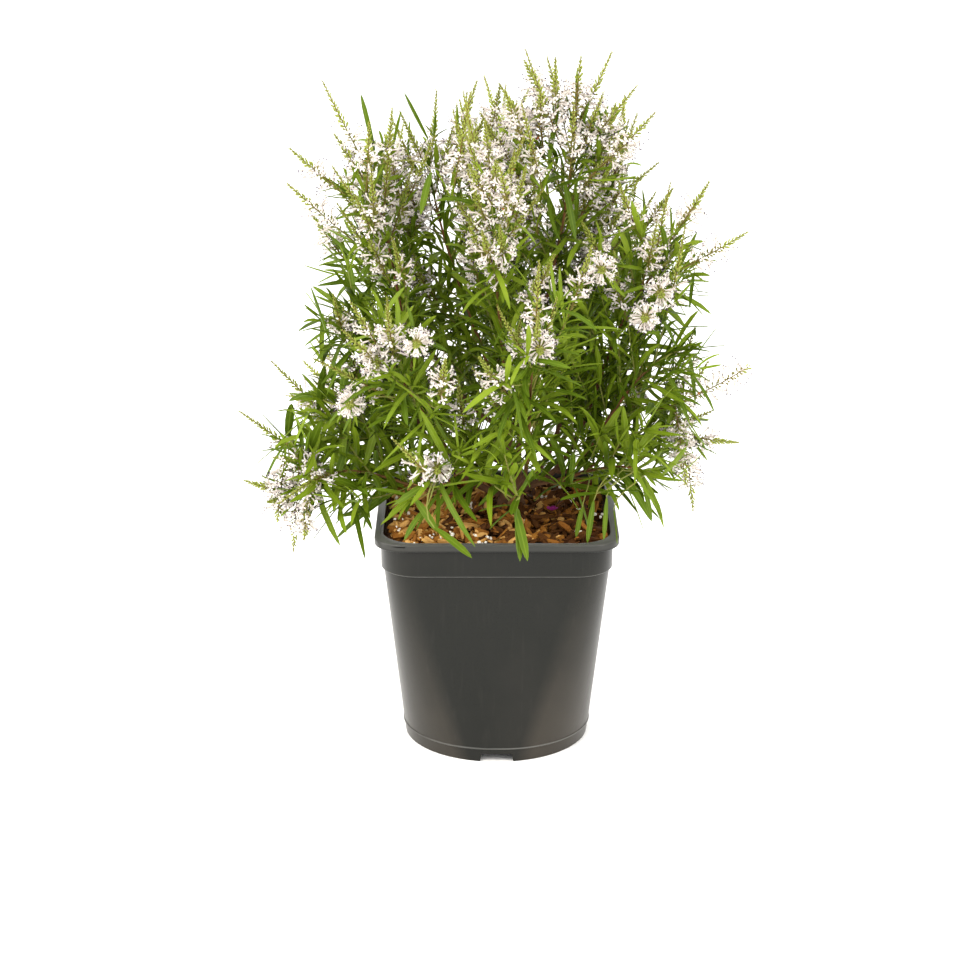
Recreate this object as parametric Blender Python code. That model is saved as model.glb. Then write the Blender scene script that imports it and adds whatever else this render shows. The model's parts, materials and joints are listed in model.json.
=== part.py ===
"""A hebe shrub in its square nursery pot: pot, bark mulch, trunk, woody boughs and leafy flowering shoots.

Metres, +Z up, -Y is the front. The origin is on the ground under the middle of the pot.
"""

import math
from dataclasses import dataclass

import bmesh
import bpy
import numpy as np
from mathutils import Vector

MM = 0.001
GAP = 0.3 * MM
WELD = 0.0005 * MM

# Pot: a square rim with round corners that runs down into a round foot
POT_HEIGHT = 200 * MM
RIM_HALF = 100 * MM
RIM_CORNER = 25 * MM
LIP_DEPTH = 6.4 * MM
LIP_ROUND = 1.2 * MM
BAND_HALF = 95 * MM
BAND_CORNER = 31 * MM
BAND_DEPTH = 23.4 * MM
BAND_STEP = 0.8 * MM
BAND_FLARE = 0.3 * MM
WALL_TOP_HALF = 93 * MM
WALL_TOP_CORNER = 31 * MM
FOOT_RADIUS = 78 * MM
FOOT_RING_HEIGHT = 9 * MM
FOOT_RING_WIDTH = 2.5 * MM
FOOT_RIDGE_HEIGHT = 12.5 * MM
FOOT_RIDGE_OUT = 0.7 * MM
FOOT_RIDGE_HALF = 1.0 * MM
FOOT_RIDGE_FLAT = 0.4 * MM
WALL_THICKNESS = 2 * MM
INNER_STEP = 3 * MM
CORNER_STEPS = 7
NOTCH_COUNT = 4
NOTCH_TOP_WIDTH = 24.8 * MM
NOTCH_BOTTOM_WIDTH = 28.8 * MM
NOTCH_HEIGHT = 7.5 * MM
NOTCH_BELOW = 2 * MM
NOTCH_OUT = 4 * MM
NOTCH_IN = 12 * MM
DRAIN_COUNT = 4
DRAIN_RADIUS = 5 * MM
DRAIN_CIRCLE = 48 * MM
DRAIN_SIDES = 8
DRILL_LENGTH = 6 * MM

# Potting mix, filled to just below the rim
MULCH_HEIGHT = 191 * MM

# Trunk: a short leaning root crown that flares into the mulch
TRUNK_X = 11 * MM
TRUNK_Y = 17 * MM
TRUNK_HEIGHT = 32 * MM
TRUNK_FOOT_RADIUS = 14.5 * MM
TRUNK_NECK_RADIUS = 9.0 * MM
TRUNK_TOP_RADIUS = 8.2 * MM
TRUNK_LEAN = 2.5 * MM
TRUNK_FLARE_HEIGHT = 9 * MM
TRUNK_LEVELS = 6
TRUNK_LEVEL_POWER = 1.4
TRUNK_SIDES = 15
ROOT_RIBS = 5
ROOT_RIB_DEPTH = 0.22
ROOT_RIB_POWER = 3
TOP_RING_RADIUS = 4.4 * MM
# How far up the trunk each kind of seat for a bough lies
TRUNK_SEATS = {"trunk_low": 0.48, "trunk_high": 0.62, "trunk_top": 1.0}

# Boughs: one tapering limb each
BOUGH_BASE_RADIUS = 3.0 * MM
BOUGH_TIP_RADIUS = 1.7 * MM
SIDE_BOUGH_BASE_RADIUS = 2.1 * MM
SIDE_BOUGH_TIP_RADIUS = 1.4 * MM
BOUGH_LEVELS = 6
SIDE_BOUGH_LEVELS = 4
BOUGH_LAUNCH = 0.30
BOUGH_LANDING = 0.38
FLANK_RISE = 0.35
FORK_RISE = 0.40
SEAT_PASSES = 4
LENGTH_PIECES = 24

# Leafy shoots: the stem that carries on from a bough, its twigs, leaves and flower spikes
LEAFY_STEM = 190 * MM
SIDE_LEAFY_STEM = 130 * MM
LEAFY_SHARE_MAX = 0.72
STEM_GAP = 0.45 * MM
STEM_RADIUS = 1.45 * MM
STEM_TIP_RADIUS = 0.9 * MM
STEM_LEVELS = 5
STEM_SAMPLES = 8
TWIG_SIDES = 3
TWIG_LENGTH = 44 * MM
TWIG_LENGTH_LOW = 1.2
TWIG_LENGTH_LOSS = 0.4
TWIG_RADIUS = 1.0 * MM
TWIG_TIP_RADIUS = 0.7 * MM
TWIG_ANGLE = math.radians(48)
TWIG_LIFT = 0.12
TWIG_SETBACK = 6 * MM
TWIG_SINK = 1.2 * MM

# Leaves stand in opposite pairs, each pair square to the next, and open less towards the stem's tip
LEAF_STEP = 26 * MM
FIRST_PAIR = 0.6
LAST_PAIR = 0.3
TIP_PAIR = 0.985
ROOT_OFFSET = 0.25 * MM
PAIR_STAGGER = 1.6 * MM
LEAF_LENGTH = 60 * MM
LEAF_WIDTH = 9.6 * MM
LEAF_THICKNESS = 1.3 * MM
LEAF_WIDEST = 0.46
LEAF_SHORT = 0.7
LEAF_ROOT_ROOM = 0.8 * MM
LEAF_TIP_ROOM = 0.3 * MM
LEAF_NECK = 0.9 * MM
LEAF_NECK_WIDTH = 1.2 * MM
LEAF_NECK_THICKNESS = 0.7 * MM
# The blade's three edges: how far across, in half widths, and how far up, in thicknesses
LEAF_EDGES = ((-1, 0.35), (1, 0.35), (0, -0.65))
LEAF_ANGLE = math.radians(58)
LEAF_OPEN_LOW = 1.1
LEAF_OPEN_LOSS = 0.35
LEAF_OPEN_TIP = 0.42
LEAF_OPEN_TWIG = 0.62
LEAF_ROLL = math.radians(50)
LEAF_DROOP = 0.34
LEAF_DROOP_UPRIGHT = 0.35

# Flower spikes stand in pairs round the stem's tip and lift a little, or hang where the stem itself hangs
SPIKE_LENGTH = 80 * MM
SPIKE_RADIUS = 11.5 * MM
SPIKE_SIDES = 5
SPIKE_ANGLE = math.radians(33)
SPIKE_SPREAD = math.radians(12)
SPIKE_STEP = 0.13
SPIKE_FIRST = 0.25
SPIKE_LIFT = 0.06
SPIKE_HANG = -0.30
HANGING_LEAN = 95
# How far along a flower spike each ring of flowers or buds stands, and its share of the full radius
SPIKE_PROFILE = (
    (0.04, 0.11),
    (0.25, 0.14),
    (0.34, 1.0),
    (0.41, 0.35),
    (0.50, 0.9),
    (0.58, 0.28),
    (0.80, 0.22),
)

# Irregularity, each as the most that a value strays either way
PAIR_TURN_STRAY = 0.3
TWIG_PAIR_TURN_STRAY = 0.4
LEAF_ANGLE_STRAY = 0.15
LEAF_LENGTH_STRAY = 0.16
SPIKE_ANGLE_STRAY = 0.08
SPIKE_TURN_STRAY = 0.12
SPIKE_LENGTH_STRAY = 0.10
SEED = 41

# Room kept round the foliage
CELL_MARGIN = 1.6 * MM
LIMB_MARGIN = 1.3 * MM
SAMPLE_STEP = 3 * MM
LOWEST_TIP = 158 * MM
RIM_CLEARANCE = 2.5 * MM
ARC_PIECES_MIN = 4


@dataclass(frozen=True)
class Shoot:
    """One leafy shoot and the bough that carries it.

    parent names the bough it leaves, or its seat on the trunk, and fork says where along that bough, or round the
    trunk in degrees. azimuth, reach and height place its tip about the pot's axis, and lean tilts the tip from upright.
    """

    name: str
    parent: str
    fork: float
    azimuth: float
    reach: float
    height: float
    lean: float
    spikes: int
    spin: float = 0.0


SHOOTS = (
    Shoot("upper_right", "trunk_top", 10, 0, 0.063, 0.518, 4, 4, 0),
    Shoot("upper_centre", "trunk_top", 250, 267, 0.072, 0.474, 8, 4, 20),
    Shoot("upper_centre_left", "trunk_top", 130, 143, 0.070, 0.482, 8, 3, 15),
    Shoot("upper_left", "trunk_low", 188, 192, 0.106, 0.490, 20, 4, 0),
    Shoot("right_shoulder", "trunk_high", 350, 356, 0.144, 0.418, 50, 3, 0),
    Shoot("upper_right_back", "trunk_low", 44, 37, 0.118, 0.460, 22, 3, 0),
    Shoot("back_top", "trunk_high", 98, 91, 0.106, 0.485, 14, 4, 40),
    Shoot("front_middle", "trunk_high", 285, 282, 0.140, 0.374, 46, 2, 80),
    Shoot("left_middle", "upper_left", 0.62, 170, 0.130, 0.365, 58, 1, 0),
    Shoot("left_low", "upper_left", 0.42, 184, 0.143, 0.296, 66, 2, 30),
    Shoot("left_hanging", "upper_left", 0.22, 196, 0.152, 0.240, 106, 3, 0),
    Shoot("front_left_middle", "upper_left", 0.52, 232, 0.134, 0.352, 38, 2, 0),
    Shoot("front_left_low", "upper_centre", 0.30, 246, 0.131, 0.262, 74, 1, 90),
    Shoot("front_right_low", "front_middle", 0.35, 279, 0.114, 0.246, 76, 0, 0),
    Shoot("right_skirt", "front_middle", 0.55, 332, 0.136, 0.252, 96, 0, 0),
    Shoot("right_middle", "right_shoulder", 0.60, 347, 0.152, 0.345, 66, 2, 60),
    Shoot("right_low", "right_shoulder", 0.38, 4, 0.150, 0.266, 90, 3, 0),
    Shoot("back_right_middle", "upper_right_back", 0.55, 44, 0.156, 0.365, 58, 2, 0),
    Shoot("back_right_low", "upper_right_back", 0.30, 52, 0.150, 0.268, 84, 1, 0),
    Shoot("back_middle", "back_top", 0.58, 88, 0.148, 0.380, 52, 2, 0),
    Shoot("back_low", "back_top", 0.32, 102, 0.144, 0.262, 86, 1, 0),
    Shoot("back_left_middle", "upper_centre_left", 0.55, 137, 0.154, 0.398, 48, 2, 0),
    Shoot("back_left_low", "upper_centre_left", 0.32, 146, 0.154, 0.268, 86, 2, 0),
)


# Scene housekeeping
for stale in list(bpy.data.objects):
    bpy.data.objects.remove(stale, do_unlink=True)

SHRUB = bpy.data.collections.new("hebe_shrub")
GUIDES = bpy.data.collections.new("cutters")
for collection in (SHRUB, GUIDES):
    bpy.context.scene.collection.children.link(collection)


def material(name, colour, roughness, metallic=0.0):
    """A Principled material in one colour."""
    made = bpy.data.materials.new(name)
    made.use_nodes = True
    shader = made.node_tree.nodes["Principled BSDF"]
    shader.inputs["Base Color"].default_value = (*colour, 1.0)
    shader.inputs["Roughness"].default_value = roughness
    shader.inputs["Metallic"].default_value = metallic
    return made


def add_object(name, data, collection=SHRUB):
    """Put data in the scene as an object."""
    made = bpy.data.objects.new(name, data)
    collection.objects.link(made)
    return made


def mesh_from(name, bm):
    """Finish a bmesh as a mesh of triangles that point out."""
    bmesh.ops.triangulate(bm, faces=bm.faces[:])
    bmesh.ops.recalc_face_normals(bm, faces=bm.faces[:])
    mesh = bpy.data.meshes.new(name)
    bm.to_mesh(mesh)
    bm.free()
    return mesh


def hide_guide(guide):
    """Mark a cutter or a guide so that it is not part of the shrub."""
    guide.hide_render = True
    guide.display_type = "WIRE"


def baked_mesh(source):
    """The mesh that a curve or a modified object evaluates to, welded, in world space."""
    evaluated = source.evaluated_get(bpy.context.evaluated_depsgraph_get())
    mesh = bpy.data.meshes.new_from_object(evaluated)
    bm = bmesh.new()
    bm.from_mesh(mesh)
    bmesh.ops.transform(bm, matrix=source.matrix_world, verts=bm.verts[:])
    bmesh.ops.remove_doubles(bm, verts=bm.verts[:], dist=WELD)
    bmesh.ops.triangulate(bm, faces=bm.faces[:])
    bmesh.ops.recalc_face_normals(bm, faces=bm.faces[:])
    bm.to_mesh(mesh)
    bm.free()
    return mesh


# Pot and potting mix


def rounded_square(half, corner, z):
    """Ring of points round a square whose corners are arcs. With corner equal to half it is a circle."""
    ring = []
    for quarter in range(4):
        for step in range(CORNER_STEPS):
            angle = (quarter + (step + 0.5) / CORNER_STEPS) * math.pi / 2
            sign_x = 1 if quarter in (0, 3) else -1
            sign_y = 1 if quarter in (0, 1) else -1
            x = sign_x * (half - corner) + corner * math.cos(angle)
            y = sign_y * (half - corner) + corner * math.sin(angle)
            ring.append(Vector((x, y, z)))
    return ring


def loft(rings):
    """Closed body through rings of equal count, capped at both ends."""
    bm = bmesh.new()
    levels = [[bm.verts.new(point) for point in ring] for ring in rings]
    count = len(levels[0])
    for low, high in zip(levels, levels[1:]):
        for i in range(count):
            j = (i + 1) % count
            bm.faces.new((low[i], low[j], high[j], high[i]))
    bm.faces.new(levels[0])
    bm.faces.new(levels[-1])
    return bm


def wall_section(z, inset=0.0):
    """Half width and corner radius of the tapering wall at height z, moved in by inset."""
    share = z / (POT_HEIGHT - LIP_DEPTH - BAND_DEPTH)
    half = FOOT_RADIUS + (WALL_TOP_HALF - FOOT_RADIUS) * share
    corner = FOOT_RADIUS + (WALL_TOP_CORNER - FOOT_RADIUS) * share
    return half - inset, corner - inset


def outer_wall_rings():
    """Rings up the outside, from the foot to the underside of the lip."""
    band_foot = POT_HEIGHT - LIP_DEPTH - BAND_DEPTH
    ridge_half, ridge_corner = wall_section(FOOT_RIDGE_HEIGHT, -FOOT_RIDGE_OUT)
    rings = [rounded_square(*wall_section(0), 0)]
    ridge_foot = FOOT_RIDGE_HEIGHT - FOOT_RIDGE_HALF
    rings.append(rounded_square(*wall_section(ridge_foot), ridge_foot))
    rings.append(rounded_square(ridge_half, ridge_corner, FOOT_RIDGE_HEIGHT - FOOT_RIDGE_FLAT))
    rings.append(rounded_square(ridge_half, ridge_corner, FOOT_RIDGE_HEIGHT + FOOT_RIDGE_FLAT))
    for z in (FOOT_RIDGE_HEIGHT + FOOT_RIDGE_HALF, band_foot):
        rings.append(rounded_square(*wall_section(z), z))
    rings.append(rounded_square(BAND_HALF, BAND_CORNER, band_foot + BAND_STEP))
    rings.append(rounded_square(BAND_HALF + BAND_FLARE, BAND_CORNER, POT_HEIGHT - LIP_DEPTH))
    return rings


def lip_rings():
    """Rings round the lip, from its underside over the rim to the inner edge."""
    under = POT_HEIGHT - LIP_DEPTH
    inner_half = BAND_HALF - WALL_THICKNESS
    return [
        rounded_square(RIM_HALF, RIM_CORNER, under),
        rounded_square(RIM_HALF, RIM_CORNER, POT_HEIGHT - LIP_ROUND),
        rounded_square(RIM_HALF - LIP_ROUND, RIM_CORNER - LIP_ROUND, POT_HEIGHT),
        rounded_square(inner_half + LIP_ROUND, BAND_CORNER - LIP_ROUND, POT_HEIGHT),
        rounded_square(inner_half, BAND_CORNER - WALL_THICKNESS, POT_HEIGHT - LIP_ROUND),
    ]


def inner_profile(inset):
    """Heights with half width and corner radius down the inside, from below the lip to the floor."""
    step_foot = POT_HEIGHT - LIP_DEPTH - BAND_DEPTH
    step_top = step_foot + INNER_STEP
    floor = FOOT_RING_HEIGHT + WALL_THICKNESS
    band = (BAND_HALF - WALL_THICKNESS - inset, BAND_CORNER - WALL_THICKNESS - inset)
    return [
        (step_top + inset, *band),
        (step_foot + inset, *wall_section(step_foot, WALL_THICKNESS + inset)),
        (floor + inset, *wall_section(floor, WALL_THICKNESS + inset)),
    ]


def make_pot():
    """Pot with its foot ring, four notches in that ring and drain holes in the raised floor."""
    inner_foot = FOOT_RADIUS - FOOT_RING_WIDTH
    rings = [rounded_square(inner_foot, inner_foot, FOOT_RING_HEIGHT), rounded_square(inner_foot, inner_foot, 0)]
    rings += outer_wall_rings()
    rings += lip_rings()
    rings += [rounded_square(half, corner, z) for z, half, corner in inner_profile(0)]
    pot = add_object("pot", mesh_from("pot", loft(rings)))
    pot.data.materials.append(material("pot", (0.061, 0.063, 0.057), 0.38))
    for number in range(NOTCH_COUNT):
        cut(pot, notch_cutter(number))
    for number in range(DRAIN_COUNT):
        cut(pot, drain_cutter(number))
    return pot


def notch_cutter(number):
    """Wedge that cuts one notch into the foot ring."""
    bm = bmesh.new()
    bmesh.ops.create_cube(bm, size=1.0)
    for vert in bm.verts:
        width = NOTCH_TOP_WIDTH if vert.co.z > 0 else NOTCH_BOTTOM_WIDTH
        vert.co.x *= width
        vert.co.y = -(FOOT_RADIUS + (NOTCH_OUT if vert.co.y < 0 else -NOTCH_IN))
        vert.co.z = NOTCH_HEIGHT if vert.co.z > 0 else -NOTCH_BELOW
    cutter = add_object(f"notch_cutter_{number}", mesh_from("notch_cutter", bm), GUIDES)
    cutter.rotation_euler.z = number * 2 * math.pi / NOTCH_COUNT
    return cutter


def drain_cutter(number):
    """Drill for one drain hole through the floor."""
    bm = bmesh.new()
    bmesh.ops.create_cone(
        bm, cap_ends=True, segments=DRAIN_SIDES, radius1=DRAIN_RADIUS, radius2=DRAIN_RADIUS, depth=DRILL_LENGTH
    )
    cutter = add_object(f"drain_cutter_{number}", mesh_from("drain_cutter", bm), GUIDES)
    angle = (number + 0.5) * 2 * math.pi / DRAIN_COUNT
    middle = FOOT_RING_HEIGHT + WALL_THICKNESS / 2
    cutter.location = (DRAIN_CIRCLE * math.cos(angle), DRAIN_CIRCLE * math.sin(angle), middle)
    return cutter


def cut(target, cutter):
    """Take cutter's shape out of target."""
    hide_guide(cutter)
    modifier = target.modifiers.new(cutter.name, "BOOLEAN")
    modifier.operation = "DIFFERENCE"
    modifier.object = cutter


def make_potting_mix():
    """Plug of bark and potting mix, clear of the pot's wall and floor."""
    rings = [rounded_square(BAND_HALF - WALL_THICKNESS - GAP, BAND_CORNER - WALL_THICKNESS - GAP, MULCH_HEIGHT)]
    rings += [rounded_square(half, corner, z) for z, half, corner in inner_profile(GAP)]
    mix = add_object("bark_mulch", mesh_from("bark_mulch", loft(rings)))
    mix.data.materials.append(material("bark_mulch", (0.22, 0.12, 0.04), 0.9))
    return mix


# Trunk and boughs


def trunk_axis(z):
    """Middle of the trunk at height z."""
    share = (z - MULCH_HEIGHT) / TRUNK_HEIGHT
    return Vector((TRUNK_X + TRUNK_LEAN * share, TRUNK_Y, z))


def trunk_radius(z, angle):
    """Trunk radius at height z: a steep root flare with ribs that fade upwards, then a slow taper."""
    share = (z - MULCH_HEIGHT) / TRUNK_HEIGHT
    flare = math.exp(-(z - MULCH_HEIGHT) / TRUNK_FLARE_HEIGHT)
    plain = TRUNK_NECK_RADIUS + (TRUNK_TOP_RADIUS - TRUNK_NECK_RADIUS) * share
    rib = ROOT_RIB_DEPTH * max(0.0, 1 - share) ** ROOT_RIB_POWER * math.cos(ROOT_RIBS * angle)
    return (plain + (TRUNK_FOOT_RADIUS - TRUNK_NECK_RADIUS) * flare) * (1 + rib)


def make_trunk():
    """Short trunk whose foot spreads into root ribs."""
    rings = []
    for level in range(TRUNK_LEVELS):
        share = (level / (TRUNK_LEVELS - 1)) ** TRUNK_LEVEL_POWER
        z = MULCH_HEIGHT + GAP + TRUNK_HEIGHT * share
        ring = []
        for side in range(TRUNK_SIDES):
            angle = 2 * math.pi * side / TRUNK_SIDES
            radius = trunk_radius(z, angle)
            ring.append(trunk_axis(z) + Vector((radius * math.cos(angle), radius * math.sin(angle), 0)))
        rings.append(ring)
    trunk = add_object("trunk", mesh_from("trunk", loft(rings)))
    trunk.data.materials.append(material("bark", (0.16, 0.09, 0.05), 0.85))
    return trunk


def bezier(p0, p1, p2, p3, t):
    """Point of a cubic curve at t from 0 to 1."""
    s = 1 - t
    return p0 * s**3 + p1 * (3 * s * s * t) + p2 * (3 * s * t * t) + p3 * t**3


def flat_direction(azimuth):
    """Level unit vector at an azimuth in radians."""
    return Vector((math.cos(azimuth), math.sin(azimuth), 0))


class Limb:
    """The middle line of a whole shoot, split into a bare bough and the leafy stem that carries on from it."""

    def __init__(self, shoot, parents):
        self.shoot = shoot
        self.is_main = shoot.parent in TRUNK_SEATS
        self.base_radius = BOUGH_BASE_RADIUS if self.is_main else SIDE_BOUGH_BASE_RADIUS
        self.tip_radius = BOUGH_TIP_RADIUS if self.is_main else SIDE_BOUGH_TIP_RADIUS
        tip = flat_direction(math.radians(shoot.azimuth)) * shoot.reach + Vector((0, 0, shoot.height))
        outward = flat_direction(math.atan2(tip.y - TRUNK_Y, tip.x - TRUNK_X))
        lean = math.radians(shoot.lean)
        landing = outward * math.sin(lean) + Vector((0, 0, math.cos(lean)))
        middle, away, launch, width = self.seat(tip, parents)
        leafy = LEAFY_STEM if self.is_main else SIDE_LEAFY_STEM
        first_run = launch
        for _ in range(SEAT_PASSES):
            # The limb's round end leans with its first run, and its low edge stays a gap clear of the seat
            shoulder = self.base_radius * math.sqrt(max(0.0, 1 - first_run.dot(away) ** 2))
            root = middle + away * (width + GAP + shoulder)
            span = (tip - root).length
            self.handles = (root, root + launch * span * BOUGH_LAUNCH, tip - landing * span * BOUGH_LANDING, tip)
            self.split = 1 - min(leafy / self.length(), LEAFY_SHARE_MAX)
            points, _ = self.bough_points()
            first_run = (points[1] - points[0]).normalized()

    def seat(self, tip, parents):
        """Where the limb sits: the middle of what carries it, the way off it, the first direction, that radius."""
        shoot = self.shoot
        upright = Vector((0, 0, 1))
        side = flat_direction(math.radians(shoot.fork))
        if shoot.parent == "trunk_top":
            return trunk_axis(MULCH_HEIGHT + TRUNK_HEIGHT + GAP) + side * TOP_RING_RADIUS, upright, upright, 0.0
        if shoot.parent in TRUNK_SEATS:
            z = MULCH_HEIGHT + TRUNK_HEIGHT * TRUNK_SEATS[shoot.parent]
            radius = trunk_radius(z, math.radians(shoot.fork))
            return trunk_axis(z), side, (side + upright * FLANK_RISE).normalized(), radius
        parent = parents[shoot.parent]
        points, _ = parent.bough_points()
        run = shoot.fork * (len(points) - 1)
        low = int(run)
        middle = points[low].lerp(points[low + 1], run - low)
        along = (points[low + 1] - points[low]).normalized()
        away = tip - middle
        away = (away - along * away.dot(along)).normalized()
        return middle, away, (away + along * FORK_RISE).normalized(), parent.bough_radius(shoot.fork)

    def point(self, t):
        """Point of the middle line at t."""
        return bezier(*self.handles, t)

    def tangent(self, t):
        """Unit direction of growth at t."""
        step = 0.01
        return (self.point(min(1, t + step)) - self.point(max(0, t - step))).normalized()

    def length(self):
        """Length of the whole middle line."""
        points = [self.point(i / LENGTH_PIECES) for i in range(LENGTH_PIECES + 1)]
        return sum((b - a).length for a, b in zip(points, points[1:]))

    def bough_radius(self, share):
        """Radius at a share of the bare bough's run."""
        return self.base_radius + (self.tip_radius - self.base_radius) * share

    def bough_points(self):
        """Middle line and radii of the bare bough."""
        levels = BOUGH_LEVELS if self.is_main else SIDE_BOUGH_LEVELS
        shares = [i / (levels - 1) for i in range(levels)]
        end = self.split
        return [self.point(end * s) for s in shares], [self.bough_radius(s) for s in shares]

    def stem_points(self):
        """Middle line and radii of the leafy stem, which starts a gap past the bough's tip."""
        first = self.split + STEM_GAP / self.length()
        shares = [i / (STEM_LEVELS - 1) for i in range(STEM_LEVELS)]
        points = [self.point(first + (1 - first) * share) for share in shares]
        return points, [STEM_RADIUS + (STEM_TIP_RADIUS - STEM_RADIUS) * share for share in shares]


def tube(name, points, radii, collection, profile=None):
    """Tapering round limb, or one with the section of a profile curve, as a curve object with filled caps."""
    curve = bpy.data.curves.new(name, "CURVE")
    curve.dimensions = "3D"
    curve.use_fill_caps = True
    if profile is None:
        curve.bevel_depth = radii[0]
        curve.bevel_resolution = 1
    else:
        curve.bevel_mode = "OBJECT"
        curve.bevel_object = profile
    spline = curve.splines.new("POLY")
    spline.points.add(len(points) - 1)
    scale = radii[0] if profile is None else 1.0
    for target, point, radius in zip(spline.points, points, radii):
        target.co = (*point, 1.0)
        target.radius = radius / scale
    return add_object(name, curve, collection)


def make_boughs(limbs):
    """One tapering bough for each shoot."""
    finish = material("young_bark", (0.20, 0.10, 0.05), 0.75)
    for limb in limbs:
        bough = tube(f"bough_{limb.shoot.name}", *limb.bough_points(), SHRUB)
        bough.data.materials.append(finish)


# Foliage


class Room:
    """Says whether a piece of foliage keeps to its own mass's space and clear of every limb and the pot."""

    def __init__(self, limbs):
        self.stems = [self.stem_samples(limb) for limb in limbs]
        starts, ends, radii = [], [], []
        for limb in limbs:
            points, widths = limb.bough_points()
            starts += points[:-1]
            ends += points[1:]
            radii += widths[:-1]
        self.limb_starts = np.array(starts)
        self.limb_ends = np.array(ends)
        self.limb_radii = np.array(radii)

    @staticmethod
    def stem_samples(limb):
        """Points along a limb's leafy stem."""
        leafy = 1 - limb.split
        return np.array([limb.point(limb.split + leafy * i / STEM_SAMPLES) for i in range(STEM_SAMPLES + 1)])

    @staticmethod
    def distances(points, starts, ends):
        """Distance of each point to each segment."""
        run = ends - starts
        offset = points[:, None, :] - starts[None]
        share = np.clip((offset * run[None]).sum(2) / (run * run).sum(1)[None], 0, 1)
        return np.linalg.norm(offset - share[..., None] * run[None], axis=2)

    def holds(self, owner, points, half_width):
        """True where all of a piece's middle line keeps to the owner's cell, clear of limbs and pot."""
        points = np.array(points)
        half_width = np.broadcast_to(half_width, len(points))
        reach = [self.distances(points, stem[:-1], stem[1:]).min(1) for stem in self.stems]
        own = reach[owner]
        others = np.min([reach[i] for i in range(len(reach)) if i != owner], axis=0)
        if np.any(others - own < CELL_MARGIN + 2 * half_width):
            return False
        to_limbs = self.distances(points, self.limb_starts, self.limb_ends) - self.limb_radii
        if np.any(to_limbs.min(1) < LIMB_MARGIN + half_width):
            return False
        return not self.meets_pot(points, half_width)

    @staticmethod
    def meets_pot(points, half_width):
        """True where a point is too near the pot, the mulch or the trunk, or hangs too low."""
        margin = RIM_CLEARANCE + half_width
        square = np.abs(points[:, :2]).max(1)
        height = points[:, 2]
        over_pot = square < RIM_HALF + margin
        inside = square < BAND_HALF - WALL_THICKNESS - margin
        floor = np.where(inside, MULCH_HEIGHT, POT_HEIGHT)
        from_trunk = np.hypot(points[:, 0] - TRUNK_X, points[:, 1] - TRUNK_Y)
        beside_trunk = height < MULCH_HEIGHT + TRUNK_HEIGHT + margin
        near_trunk = (from_trunk < TRUNK_FOOT_RADIUS + margin) & beside_trunk
        near_pot = over_pot & (height < floor + margin)
        return bool(np.any(near_pot | near_trunk | (height - half_width < LOWEST_TIP)))


def sphere_place(point, sectors, levels):
    """Ring and sector of a vertex on a unit sphere of so many sectors and levels, counted from its top pole."""
    level = round(math.acos(max(-1.0, min(1.0, point.z))) / math.pi * levels)
    sector = round(math.atan2(point.y, point.x) / (2 * math.pi) * sectors) % sectors
    return level, sector


def arc_points(base, direction, length, sag):
    """Points along a piece that leaves base in a direction and sags by the square of the way along."""
    count = max(ARC_PIECES_MIN, int(length / SAMPLE_STEP) + 1)
    return [base + direction * (length * i / count) + sag * (i / count) ** 2 for i in range(count + 1)]


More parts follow.
